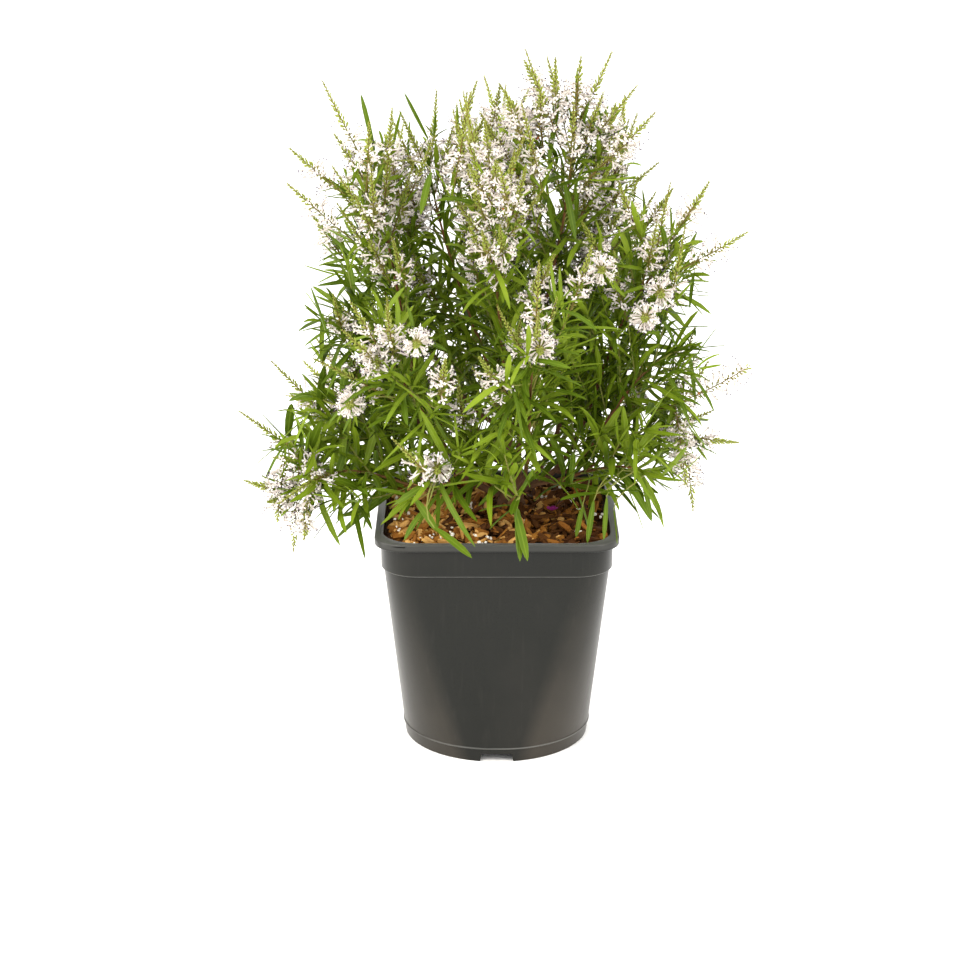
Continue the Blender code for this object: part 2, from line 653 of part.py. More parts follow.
class Mass:
    """One shoot's foliage: a stem with side twigs, paired leaves and flower spikes, all fused in one solid."""

    def __init__(self, number, limb, room, profile):
        self.number = number
        self.limb = limb
        self.room = room
        self.profile = profile
        self.random = np.random.default_rng(SEED + number)
        self.pieces = bpy.data.collections.new(f"pieces_{limb.shoot.name}")
        bpy.context.scene.collection.children.link(self.pieces)
        points, radii = limb.stem_points()
        self.stem = self.sweep(f"foliage_{limb.shoot.name}", points, radii, SHRUB)

    def sweep(self, name, points, radii, collection):
        """Three-sided tapering stem or twig as a mesh object."""
        curve = tube(name + "_line", points, radii, GUIDES, self.profile)
        swept = add_object(name, baked_mesh(curve), collection)
        bpy.data.objects.remove(curve)
        return swept

    def jitter(self, amount):
        """Random number from -amount to amount."""
        return float(self.random.uniform(-amount, amount))

    def around(self, direction, angle):
        """Unit vector square to a direction, turned about it by an angle."""
        across = direction.cross(Vector((0, 0, 1)))
        across = across.normalized() if across.length > 0.05 else Vector((1, 0, 0))
        upward = across.cross(direction)
        return across * math.cos(angle) + upward * math.sin(angle)

    def grow(self):
        """Add twigs, leaves and spikes by the rule of the species, then fuse them."""
        shoot = self.limb.shoot
        spin = math.radians(shoot.spin)
        run = (1 - self.limb.split) * self.limb.length()
        for number in range(shoot.spikes):
            pair = number // 2
            back = SPIKE_STEP * (pair + SPIKE_FIRST) * run + (number % 2) * PAIR_STAGGER
            base, along = self.place(1 - back / run)
            angle = spin + pair * math.pi / 2 + (number % 2) * math.pi
            self.add_spike(base, along, angle, SPIKE_ANGLE + SPIKE_SPREAD * pair)
        nodes = round(run / LEAF_STEP)
        for node in range(nodes):
            share = (node + FIRST_PAIR) / (nodes + LAST_PAIR)
            angle = spin + math.pi / 4 + node * math.pi / 2 + self.jitter(PAIR_TURN_STRAY)
            base, along = self.place(share)
            self.add_leaf_pair(base, along, angle, LEAF_ANGLE * (LEAF_OPEN_LOW - LEAF_OPEN_LOSS * share))
            if 0 < node < nodes - 1:
                base, along = self.place(share + TWIG_SETBACK / run)
                length = TWIG_LENGTH * (TWIG_LENGTH_LOW - TWIG_LENGTH_LOSS * share)
                self.add_twig(base, along, angle + (node % 2) * math.pi, length)
        base, along = self.place(TIP_PAIR)
        self.add_leaf_pair(base, along, spin, LEAF_ANGLE * LEAF_OPEN_TIP)
        return self.fuse()

    def place(self, share):
        """Point and direction of growth at a share of the leafy stem's run."""
        t = self.limb.split + (1 - self.limb.split) * share
        return self.limb.point(t), self.limb.tangent(t)

    def add_leaf_pair(self, base, along, angle, opening):
        """Two opposite leaves, one a hair below the other."""
        for side in (0, 1):
            away = self.around(along, angle + side * math.pi)
            tilt = opening + self.jitter(LEAF_ANGLE_STRAY)
            direction = (along * math.cos(tilt) + away * math.sin(tilt)).normalized()
            root = base + away * ROOT_OFFSET - along * side * PAIR_STAGGER
            length = LEAF_LENGTH * (1 + self.jitter(LEAF_LENGTH_STRAY))
            self.add_leaf(root, direction, length, self.jitter(LEAF_ROLL))

    def add_leaf(self, base, direction, length, roll):
        """Narrow blade that arches over, keeled below, rolled about its length, with its neck sunk in the stem."""
        level = math.hypot(direction.x, direction.y)
        droop = LEAF_DROOP * (LEAF_DROOP_UPRIGHT + (1 - LEAF_DROOP_UPRIGHT) * level)
        sag = Vector((0, 0, -droop * length))
        line = arc_points(base, direction, length, sag)
        known = (LEAF_ROOT_ROOM, LEAF_WIDTH / 2, LEAF_TIP_ROOM)
        widths = np.interp(np.linspace(0, 1, len(line)), (0, LEAF_WIDEST, 1), known)
        if not self.room.holds(self.number, line, widths):
            if length > LEAF_SHORT * LEAF_LENGTH:
                self.add_leaf(base, direction, length * LEAF_SHORT, roll)
            return
        across = self.around(direction, roll)
        normal = self.around(direction, roll + math.pi / 2)
        rings = (
            (0, 0, 0),
            (LEAF_NECK / length, LEAF_NECK_WIDTH / 2, LEAF_NECK_THICKNESS),
            (LEAF_WIDEST, LEAF_WIDTH / 2, LEAF_THICKNESS),
            (1.0, 0, 0),
        )
        bm = bmesh.new()
        bmesh.ops.create_uvsphere(bm, u_segments=3, v_segments=3, radius=1.0)
        for vert in bm.verts:
            level, sector = sphere_place(vert.co, 3, 3)
            share, half_width, thickness = rings[level]
            out, up = LEAF_EDGES[sector]
            middle = base + direction * (length * share) + sag * share * share
            vert.co = middle + across * (out * half_width) + normal * (up * thickness)
        add_object("leaf", mesh_from("leaf", bm), self.pieces)

    def add_twig(self, base, along, angle, length):
        """Side twig from a leaf's axil, with a pair of leaves at its tip."""
        away = self.around(along, angle)
        direction = (along * math.cos(TWIG_ANGLE) + away * math.sin(TWIG_ANGLE)).normalized()
        sag = Vector((0, 0, TWIG_LIFT * length))
        line = arc_points(base, direction, length, sag)
        if not self.room.holds(self.number, line[1:], TWIG_RADIUS):
            return
        self.sweep("twig", [base, line[-1]], [TWIG_RADIUS, TWIG_TIP_RADIUS], self.pieces)
        onward = (line[-1] - base).normalized()
        turn = angle + self.jitter(TWIG_PAIR_TURN_STRAY)
        self.add_leaf_pair(line[-1] - onward * TWIG_SINK, onward, turn, LEAF_ANGLE * LEAF_OPEN_TWIG)

    def add_spike(self, base, along, angle, opening):
        """Flower spike: bristling open flowers in its lower part and a slim run of buds to its point."""
        opening += self.jitter(SPIKE_ANGLE_STRAY)
        away = self.around(along, angle + self.jitter(SPIKE_TURN_STRAY))
        direction = (along * math.cos(opening) + away * math.sin(opening)).normalized()
        length = SPIKE_LENGTH * (1 + self.jitter(SPIKE_LENGTH_STRAY))
        lift = SPIKE_HANG if self.limb.shoot.lean > HANGING_LEAN else SPIKE_LIFT
        sag = Vector((0, 0, lift * length))
        line = arc_points(base, direction, length, sag)
        shares = np.linspace(0, 1, len(line))
        known = [0.0] + [share for share, _ in SPIKE_PROFILE] + [1.0]
        widths = [0.0] + [SPIKE_RADIUS * radius for _, radius in SPIKE_PROFILE] + [0.0]
        half_widths = np.interp(shares, known, widths)
        if not self.room.holds(self.number, line[1:], half_widths[1:]):
            return
        across = self.around(direction, 0)
        upward = across.cross(direction)
        levels = len(SPIKE_PROFILE) + 1
        bm = bmesh.new()
        bmesh.ops.create_uvsphere(bm, u_segments=SPIKE_SIDES, v_segments=levels, radius=1.0)
        for vert in bm.verts:
            level, sector = sphere_place(vert.co, SPIKE_SIDES, levels)
            turn = 2 * math.pi * (sector + 0.5 * (level % 2)) / SPIKE_SIDES
            share, radius = known[level], widths[level]
            middle = base + direction * (length * share) + sag * share * share
            vert.co = middle + (across * math.cos(turn) + upward * math.sin(turn)) * radius
        add_object("spike", mesh_from("spike", bm), self.pieces)

    def fuse(self):
        """Join every piece to the stem with one union, and keep the one body that holds the stem.

        Where two pieces graze each other so that the union is left open, the piece nearest to that edge goes.
        """
        name = self.stem.name
        union = self.stem.modifiers.new("union", "BOOLEAN")
        union.operation = "UNION"
        union.operand_type = "COLLECTION"
        union.collection = self.pieces
        union.solver = "EXACT"
        for piece in self.pieces.objects:
            hide_guide(piece)
        while True:
            bpy.context.view_layer.update()
            mesh = baked_mesh(self.stem)
            keep_largest_body(mesh)
            graze = open_edge(mesh)
            if graze is None:
                break
            bpy.data.objects.remove(self.nearest_piece(graze), do_unlink=True)
        for piece in list(self.pieces.objects):
            bpy.data.objects.remove(piece, do_unlink=True)
        bpy.data.collections.remove(self.pieces)
        bpy.data.objects.remove(self.stem, do_unlink=True)
        mesh.name = name
        return add_object(name, mesh)

    def nearest_piece(self, place):
        """The twig, leaf or flower spike whose surface comes nearest to a place."""
        return min(self.pieces.objects, key=lambda piece: (piece.closest_point_on_mesh(place)[1] - place).length)


def open_edge(mesh):
    """Middle of an edge that does not join exactly two faces, or None on a closed body."""
    bm = bmesh.new()
    bm.from_mesh(mesh)
    places = [(edge.verts[0].co + edge.verts[1].co) / 2 for edge in bm.edges if not edge.is_manifold]
    bm.free()
    return places[0] if places else None


def keep_largest_body(mesh):
    """Drop loose scraps and sealed hollows, which are bodies of their own, and keep the largest."""
    bm = bmesh.new()
    bm.from_mesh(mesh)
    bodies = []
    unseen = set(bm.verts)
    while unseen:
        body = {unseen.pop()}
        front = list(body)
        while front:
            vert = front.pop()
            near = [edge.other_vert(vert) for edge in vert.link_edges]
            fresh = [other for other in near if other not in body]
            body.update(fresh)
            front.extend(fresh)
        unseen -= body
        bodies.append(body)
    bodies.sort(key=len)
    for scrap in bodies[:-1]:
        bmesh.ops.delete(bm, geom=list(scrap), context="VERTS")
    bm.to_mesh(mesh)
    bm.free()


def twig_profile():
    """Unit triangle that gives stems and twigs their section."""
    curve = bpy.data.curves.new("twig_profile", "CURVE")
    curve.dimensions = "2D"
    spline = curve.splines.new("POLY")
    spline.points.add(TWIG_SIDES - 1)
    for number, point in enumerate(spline.points):
        angle = 2 * math.pi * number / TWIG_SIDES
        point.co = (math.cos(angle), math.sin(angle), 0, 1)
    spline.use_cyclic_u = True
    profile = add_object("twig_profile", curve, GUIDES)
    hide_guide(profile)
    return profile


def make_foliage(limbs):
    """One mass of foliage on each bough."""
    room = Room(limbs)
    profile = twig_profile()
    finish = material("foliage", (0.10, 0.16, 0.03), 0.55)
    for number, limb in enumerate(limbs):
        mass = Mass(number, limb, room, profile).grow()
        mass.data.materials.clear()
        mass.data.materials.append(finish)


def main():
    """Build the whole shrub."""
    make_pot()
    make_potting_mix()
    make_trunk()
    grown = {}
    for shoot in SHOOTS:
        grown[shoot.name] = Limb(shoot, grown)
    limbs = list(grown.values())
    make_boughs(limbs)
    make_foliage(limbs)


main()
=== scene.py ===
"""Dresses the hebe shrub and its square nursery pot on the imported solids.

Metres, +Z up, -Y is the front. The limbs and the rule by which the foliage grows are those of the solids,
carried on to finer twigs, leaves and flowers. Every small form is a closed body swept along a curve and
worked out as whole arrays.
"""

import json
import logging
import math
from dataclasses import InitVar, dataclass, field
from enum import Enum
from typing import Any, ClassVar, Iterable, Sequence

import bpy
import numpy as np
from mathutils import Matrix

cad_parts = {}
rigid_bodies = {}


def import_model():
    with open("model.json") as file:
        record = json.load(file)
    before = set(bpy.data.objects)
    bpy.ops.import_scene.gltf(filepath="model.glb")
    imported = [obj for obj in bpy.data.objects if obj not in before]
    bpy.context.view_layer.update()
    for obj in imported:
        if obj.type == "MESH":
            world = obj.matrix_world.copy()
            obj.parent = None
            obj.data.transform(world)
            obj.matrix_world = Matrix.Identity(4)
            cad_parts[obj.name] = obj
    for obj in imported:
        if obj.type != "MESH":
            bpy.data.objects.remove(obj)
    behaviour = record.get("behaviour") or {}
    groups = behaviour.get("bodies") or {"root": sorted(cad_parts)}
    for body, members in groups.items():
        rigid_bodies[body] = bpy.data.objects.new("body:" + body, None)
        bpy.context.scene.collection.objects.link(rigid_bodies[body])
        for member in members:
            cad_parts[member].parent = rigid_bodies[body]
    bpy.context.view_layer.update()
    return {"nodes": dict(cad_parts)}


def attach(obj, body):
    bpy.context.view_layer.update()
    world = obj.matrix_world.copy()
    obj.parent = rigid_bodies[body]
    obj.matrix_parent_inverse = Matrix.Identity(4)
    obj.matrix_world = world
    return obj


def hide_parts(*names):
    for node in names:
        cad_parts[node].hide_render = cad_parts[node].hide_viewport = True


Array = np.ndarray
Colour = tuple[float, float, float]
Place = tuple[float, float, float]
Span = tuple[float, float]

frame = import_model()
LOG = logging.getLogger("hebe")

MM = 0.001
UP = np.array((0.0, 0.0, 1.0))
SEED = 41
GOLDEN_TURN = math.radians(137.508)
FULL_TURN = 2 * math.pi


# Arithmetic on whole arrays of vectors


def unit(vectors: Array) -> Array:
    """Vectors scaled to length one."""
    return vectors / np.maximum(np.linalg.norm(vectors, axis=-1, keepdims=True), 1e-9)


def dot(a: Array, b: Array) -> Array:
    """Inner products over the last axis, which stays with length one."""
    return (a * b).sum(axis=-1, keepdims=True)


def around(direction: Array, angle: Array | float) -> Array:
    """Unit vectors square to directions, turned about them.

    The level vector across each direction times the angle's cosine, plus the upward one times its sine.

    Args:
        direction: unit vectors, with x, y and z on the last axis.
        angle: turn about each, in radians.

    Returns:
        One unit vector for each direction.
    """
    least = 0.05
    across = np.cross(direction, UP)
    size = np.linalg.norm(across, axis=-1, keepdims=True)
    across = np.where(size > least, across / np.maximum(size, least), (1.0, 0.0, 0.0))
    upward = np.cross(across, direction)
    turn = np.asarray(angle)[..., None]
    return across * np.cos(turn) + upward * np.sin(turn)


def level(azimuth: Array | float) -> Array:
    """Level unit vectors at azimuths in radians."""
    azimuth = np.asarray(azimuth, dtype=float)
    return np.stack([np.cos(azimuth), np.sin(azimuth), np.zeros_like(azimuth)], axis=-1)


def ripple(places: Array, size: float, waves: int, seed: int) -> Array:
    """Soft irregular relief from -1 to 1: the mean of plane sine waves in random directions.

    Args:
        places: points, with x, y and z on the last axis.
        size: wavelength of the coarsest wave.
        waves: how many waves are summed, each a little finer than the last.
        seed: picks the directions and phases.

    Returns:
        One height for each point.
    """
    finer, gain = 0.45, 1.6
    random = np.random.default_rng(seed)
    height = np.zeros(places.shape[:-1])
    for number in range(waves):
        direction = unit(random.normal(size=3))
        pitch = FULL_TURN / size * (1 + finer * number)
        height += np.sin(places @ direction * pitch + random.uniform(0, FULL_TURN)) / waves
    return height * gain


# Closed bodies swept along curves


@dataclass
class Curves:
    """Cubic curves, one to a row.

    Attributes:
        handles: end points and handles, as an array of n curves by 4 points by 3.
    """

    handles: Array

    @classmethod
    def arcs(cls, base: Array, direction: Array, length: Array, sag: Array) -> "Curves":
        """Curves that leave base in a direction and bend by the square of the way along.

        Args:
            base: start points, n by 3.
            direction: unit vectors, n by 3.
            length: run along the direction, n.
            sag: where the bend has moved the end, n by 3.

        Returns:
            The curves: each is base + direction * length * s + sag * s squared, as a cubic.
        """
        run = direction * np.asarray(length)[:, None]
        handles = [base, base + run / 3, base + run * 2 / 3 + sag / 3, base + run + sag]
        return cls(np.stack(handles, axis=1))

    @classmethod
    def between(cls, foot: Array, tip: Array, bow: Array) -> "Curves":
        """Curves between points, whose end curls up by the square of the way along.

        Args:
            foot: start points, n by 3.
            tip: end points, n by 3.
            bow: how far each end curls up, as a share of its length.

        Returns:
            The curves.
        """
        sag = UP * (bow * np.linalg.norm(tip - foot, axis=1))[:, None]
        run = tip - foot - sag
        return cls.arcs(foot, unit(run), np.linalg.norm(run, axis=1), sag)

    def __len__(self) -> int:
        """How many curves there are."""
        return len(self.handles)

    def pick(self, mask: Array) -> "Curves":
        """The curves that a mask keeps."""
        return Curves(self.handles[mask])

    def spread(self, share: Array | float) -> tuple[Array, Array]:
        """Shares and handles in shapes that multiply.

        Args:
            share: n by m shares, or one share for every curve.

        Returns:
            The shares with a last axis of length one, and the handles.
        """
        one = np.ndim(share) == 0
        shares = np.broadcast_to(share, (len(self),) if one else np.shape(share))[..., None]
        return shares, self.handles if one else self.handles[:, None]

    def at(self, share: Array | float) -> Array:
        """Points at shares of the way: the four handles weighted by the cubic Bernstein terms.

        Args:
            share: n by m shares, or one share for every curve.

        Returns:
            Points, n by m by 3, or n by 3 for one share.
        """
        t, h = self.spread(share)
        s = 1 - t
        return (
            h[..., 0, :] * s**3
            + h[..., 1, :] * (3 * s * s * t)
            + h[..., 2, :] * (3 * s * t * t)
            + h[..., 3, :] * t**3
        )

    def slope(self, share: Array | float) -> Array:
        """Change of place per unit of share: three times the weighted differences of neighbouring handles.

        Args:
            share: n by m shares, or one share for every curve.

        Returns:
            Vectors, n by m by 3, or n by 3 for one share.
        """
        t, h = self.spread(share)
        s = 1 - t
        steps = (h[..., 1:, :] - h[..., :-1, :]) * 3
        return steps[..., 0, :] * s * s + steps[..., 1, :] * (2 * s * t) + steps[..., 2, :] * t * t

    def way(self, share: Array | float) -> Array:
        """Unit directions of growth at shares."""
        return unit(self.slope(share))

    def part(self, start: float, end: float) -> "Curves":
        """The stretch of each curve between two shares, with the handles that keep its shape.

        Args:
            start: share where it starts.
            end: share where it ends.

        Returns:
            The stretches.
        """
        first, last = self.at(start), self.at(end)
        third = (end - start) / 3
        handles = [first, first + self.slope(start) * third, last - self.slope(end) * third, last]
        return Curves(np.stack(handles, axis=1))

    def samples(self, start: float, count: int) -> Array:
        """Points at evenly spaced shares from a start to the end, n by count by 3."""
        return self.at(np.broadcast_to(np.linspace(start, 1, count), (len(self), count)))

    def length(self) -> Array:
        """Length of each curve, by 24 chords."""
        return np.linalg.norm(np.diff(self.samples(0, 25), axis=1), axis=2).sum(axis=1)


def polygon(corners: int) -> tuple[Span, ...]:
    """Corners of a regular outline of radius one."""
    turns = [k * FULL_TURN / corners for k in range(corners)]
    return tuple((math.cos(turn), math.sin(turn)) for turn in turns)


class Section(Enum):
    """Outlines that are carried along a curve: how far across and how far up each corner lies."""

    ROUND = polygon(8)
    TWIG = polygon(5)
    THREAD = polygon(3)
    FLAT = ((1.0, 0.0), (0.0, 1.0), (-1.0, 0.0), (0.0, -1.0))
    BLADE = ((1.0, 2.6), (0.0, 1.0), (-1.0, 2.6), (0.0, -1.0))
    CHIP = ((1.0, -0.8), (0.9, 0.8), (-0.8, 1.0), (-1.0, -0.9))


def ring_faces(rings: int, corners: int) -> Array:
    """Triangles of one closed body: a fan, bands of split quads between rings, and a fan.

    Args:
        rings: how many rings there are between the two end points.
        corners: how many points a ring has.

    Returns:
        Point numbers, one row to a triangle. Point 0 is the first end, and the last point is the other.
    """
    k = np.arange(corners)
    following = (k + 1) % corners
    start = np.stack([np.zeros_like(k), 1 + following, 1 + k], axis=1)
    low = 1 + np.arange(rings - 1)[:, None] * corners
    a, b = low + k, low + following
    c, d = b + corners, a + corners
    halves = [np.stack([a, b, c], axis=-1), np.stack([a, c, d], axis=-1)]
    bands = np.stack(halves, axis=2).reshape(-1, 3)
    top = 1 + (rings - 1) * corners
    end = np.stack([top + k, top + following, np.full_like(k, rings * corners + 1)], axis=1)
    return np.concatenate([start, bands, end])


@dataclass
class Skin:
    """The closed bodies of one piece, gathered as arrays."""

    points: list[Array] = field(default_factory=list)
    faces: list[Array] = field(default_factory=list)
    margins: list[Array] = field(default_factory=list)  # 0 on a body's middle line to 1 at its edge
    count: int = 0  # how many points there are

    def add(self, rings: Array, first: Array, last: Array, margin: Array | float = 0.0) -> None:
        """Adds n closed bodies.

        Args:
            rings: n by rings by corners by 3, counter-clockwise about the way from first to last.
            first: the point that closes each body before its first ring, n by 3.
            last: the point that closes it after its last ring, n by 3.
            margin: how far from the middle line each corner of a ring lies, from 0 to 1.
        """
        n, m, c, _ = rings.shape
        points = np.concatenate([first[:, None], rings.reshape(n, m * c, 3), last[:, None]], axis=1)
        offsets = self.count + np.arange(n) * (m * c + 2)
        self.faces.append((ring_faces(m, c)[None] + offsets[:, None, None]).reshape(-1, 3))
        self.points.append(points.reshape(-1, 3))
        margins = np.zeros((n, m * c + 2), dtype=np.float32)
        margins[:, 1:-1] = np.tile(np.broadcast_to(margin, c), m)
        self.margins.append(margins.ravel())
        self.count += n * (m * c + 2)

    def add_plug(self, rings: Array, base: float, top: float) -> None:
        """Adds one body of rings about the z axis, closed on that axis at two heights."""
        self.add(rings[None], np.array([[0, 0, base]]), np.array([[0, 0, top]]))

    def sweep(
        self,
        curves: Curves,
        shares: Sequence[float],
        across: Array,
        up: Array,
        normal: Array,
        section: Section,
        relief: Array | float = 1.0,
    ) -> None:
        """Carries a section along curves.

        A corner lies at the curve's point + side * across * corner's x + normal * up * corner's y, times the
        relief.

        Args:
            curves: n curves.
            shares: where along them the m rings stand.
            across: half widths, n by m or m.
            up: half depths, n by m or m.
            normal: which way up each body lies at its start, n by 3.
            section: the outline.
            relief: scale of each corner, n by m by corners, for bark.
        """
        n, m = len(curves), len(shares)
        share = np.broadcast_to(np.asarray(shares, dtype=float), (n, m))
        middle, way = curves.at(share), curves.way(share)
        up_way = unit(normal[:, None] - way * dot(way, normal[:, None]))
        side = np.cross(up_way, way)
        outline = np.array(section.value)
        x = np.broadcast_to(across, (n, m))[..., None] * outline[:, 0] * relief
        y = np.broadcast_to(up, (n, m))[..., None] * outline[:, 1] * relief
        rings = middle[:, :, None] + side[:, :, None] * x[..., None] + up_way[:, :, None] * y[..., None]
        self.add(rings, curves.at(0.0), curves.at(1.0), np.abs(outline[:, 0]))

    def rods(self, curves: Curves, shares: Sequence[float], radius: Array, section: Section) -> None:
        """Carries a section along curves, as wide as it is deep."""
        self.sweep(curves, shares, radius, radius, around(curves.way(0.0), 0.0), section)

    def mesh(self, name: str, crease: float) -> bpy.types.Mesh:
        """Puts the bodies into a mesh.

        Args:
            name: the mesh's name.
            crease: angle in degrees from which an edge is sharp.

        Returns:
            The mesh, smooth but for its sharp edges.
        """
        points = np.concatenate(self.points).astype(np.float32)
        faces = np.concatenate(self.faces).astype(np.int32)
        mesh = bpy.data.meshes.new(name)
        mesh.vertices.add(len(points))
        mesh.vertices.foreach_set("co", points.ravel())
        mesh.loops.add(faces.size)
        mesh.loops.foreach_set("vertex_index", faces.ravel())
        mesh.polygons.add(len(faces))
        mesh.polygons.foreach_set("loop_start", np.arange(0, faces.size, 3, dtype=np.int32))
        mesh.polygons.foreach_set("use_smooth", np.ones(len(faces), dtype=bool))
        margin = mesh.attributes.new("margin", "FLOAT", "POINT")
        margin.data.foreach_set("value", np.concatenate(self.margins))
        mesh.update(calc_edges=True)
        mesh.set_sharp_from_angle(angle=math.radians(crease))
        return mesh


# Shader graphs


class Value:
    """A shader socket that takes part in arithmetic: each operator adds a Math node."""

    def __init__(self, graph: "Graph", socket: bpy.types.NodeSocket) -> None:
        """Wraps a socket of a graph."""
        self.graph = graph
        self.socket = socket

    def math(self, operation: str, first: Any, second: Any) -> "Value":
        """The Math node of an operation on two values or numbers."""
        node = self.graph.node("ShaderNodeMath", {"operation": operation}, {0: first, 1: second})
        return Value(self.graph, node.outputs[0])

    def __add__(self, other: Any) -> "Value":
        """Sum."""
        return self.math("ADD", self, other)

    def __sub__(self, other: Any) -> "Value":
        """Difference."""
        return self.math("SUBTRACT", self, other)

    def __rsub__(self, other: Any) -> "Value":
        """Difference from a number."""
        return self.math("SUBTRACT", other, self)

    def __mul__(self, other: Any) -> "Value":
        """Product."""
        return self.math("MULTIPLY", self, other)

    def __abs__(self) -> "Value":
        """The value without its sign."""
        return self.math("ABSOLUTE", self, 0.0)

    __radd__ = __add__
    __rmul__ = __mul__


class Graph:
    """One material's nodes."""

    def __init__(self, name: str) -> None:
        """Makes a material with no nodes in it yet."""
        self.material = bpy.data.materials.new(name)
        self.material.use_nodes = True
        self.tree = self.material.node_tree
        self.tree.nodes.clear()

    def node(self, kind: str, settings: dict[str, Any], inputs: dict[Any, Any]) -> bpy.types.Node:
        """Adds a node.

        Args:
            kind: the node's type.
            settings: its own properties, set first.
            inputs: what goes into its sockets: a number, a colour, a socket or a Value.

        Returns:
            The node.
        """
        made = self.tree.nodes.new(kind)
        for key, value in settings.items():
            setattr(made, key, value)
        for key, value in inputs.items():
            if isinstance(value, Value):
                value = value.socket
            if isinstance(value, bpy.types.NodeSocket):
                self.tree.links.new(value, made.inputs[key])
            else:
                made.inputs[key].default_value = value
        return made

    def place(self) -> bpy.types.NodeSocket:
        """The piece's own coordinates."""
        return self.node("ShaderNodeTexCoord", {}, {}).outputs["Object"]

    def axes(self) -> tuple[Value, Value, Value]:
        """The piece's own x, y and z."""
        parts = self.node("ShaderNodeSeparateXYZ", {}, {0: self.place()})
        return tuple(Value(self, output) for output in parts.outputs)

    def attribute(self, name: str) -> Value:
        """One number of the mesh for each of its points."""
        return Value(self, self.node("ShaderNodeAttribute", {"attribute_name": name}, {}).outputs["Fac"])

    def noise(self, scale: float, stretch: Place = (1.0, 1.0, 1.0), detail: float = 3.0) -> Value:
        """Noise from 0 to 1.

        Args:
            scale: how many cells there are to a metre.
            stretch: how the cells are squeezed along each axis.
            detail: how many finer layers it has.

        Returns:
            The noise.
        """
        placed = self.node("ShaderNodeMapping", {}, {"Vector": self.place(), "Scale": stretch})
        inputs = {"Vector": placed.outputs[0], "Scale": scale, "Detail": detail}
        return Value(self, self.node("ShaderNodeTexNoise", {}, inputs).outputs[0])

    def steep(self, value: Value, low: float, high: float) -> Value:
        """A value stretched so that low becomes 0 and high becomes 1, clamped."""
        node = self.node("ShaderNodeMapRange", {}, {"Value": value, "From Min": low, "From Max": high})
        return Value(self, node.outputs[0])

    def blend(self, factor: Value, first: Any, second: Any) -> bpy.types.NodeSocket:
        """A colour between two.

        Args:
            factor: 0 for the first colour, 1 for the second.
            first: a colour or a socket.
            second: a colour or a socket.

        Returns:
            The Mix node's colour.
        """
        colours = [(*c, 1.0) if isinstance(c, tuple) else c for c in (first, second)]
        inputs = {"Factor": factor, 6: colours[0], 7: colours[1]}
        return self.node("ShaderNodeMix", {"data_type": "RGBA"}, inputs).outputs[2]

    def bump(self, height: Value, distance: float, strength: float) -> bpy.types.NodeSocket:
        """A normal bumped by a height, so deep in metres and so strong."""
        inputs = {"Height": height, "Distance": distance, "Strength": strength}
        return self.node("ShaderNodeBump", {}, inputs).outputs[0]

    def finish(self, shader: bpy.types.Node) -> bpy.types.Material:
        """Ends the graph with a shader."""
        self.node("ShaderNodeOutputMaterial", {}, {"Surface": shader.outputs[0]})
        return self.material


# Finishes


@dataclass(frozen=True)
class Finish:
    """A matt or satin natural surface in two near colours that drift over it.

    Attributes:
        name: the material's name.
        colour: main colour, linear.
        other: the colour that it drifts to.
        drift: how many patches of colour there are to a metre.
        rough: least and greatest roughness.
        glow: share of the light that comes through from behind.
        relief: depth of the fine bump in metres.
        grain: how many grains there are to a metre.
        stretch: how the grain is squeezed along x, y and z.
        sheen: strength of the mirror-like reflection.
        patch_edges: noise at which the other colour starts and is full.
        patch_share: share of the patches in the drift, where the grain has the rest.
        brightening: how much brighter the light that comes through is than the main colour.
        bump_strength: strength of the bump.
    """

    name: str
    colour: Colour
    other: Colour
    drift: float = 30.0
    rough: Span = (0.4, 0.6)
    glow: float = 0.0
    relief: float = 0.0
    grain: float = 900.0
    stretch: Place = (1.0, 1.0, 1.0)
    sheen: float = 0.15

    patch_edges: ClassVar[Span] = (0.35, 0.65)
    patch_share: ClassVar[float] = 0.7
    brightening: ClassVar[float] = 1.25
    bump_strength: ClassVar[float] = 0.8

    def surface(self, graph: Graph, fine: Value) -> bpy.types.NodeSocket:
        """The two colours, mixed by patches and by the fine grain."""
        patches = graph.steep(graph.noise(self.drift), *self.patch_edges)
        drift = patches * self.patch_share + fine * (1 - self.patch_share)
        return graph.blend(drift, self.colour, self.other)

    def material(self) -> bpy.types.Material:
        """Builds the material, with a translucent share where light comes through.

        Returns:
            The material.
        """
        graph = Graph(self.name)
        fine = graph.noise(self.grain, self.stretch)
        low, high = self.rough
        inputs = {
            "Base Color": self.surface(graph, fine),
            "Roughness": fine * (high - low) + low,
            "Specular IOR Level": self.sheen,
        }
        if self.relief:
            inputs["Normal"] = graph.bump(fine, self.relief, self.bump_strength)
        shader = graph.node("ShaderNodeBsdfPrincipled", {}, inputs)
        if self.glow:
            through = tuple(min(1.0, c * self.brightening) for c in self.colour)
            back = graph.node("ShaderNodeBsdfTranslucent", {}, {"Color": (*through, 1.0)})
            mix = {0: self.glow, 1: shader.outputs[0], 2: back.outputs[0]}
            shader = graph.node("ShaderNodeMixShader", {}, mix)
        return graph.finish(shader)


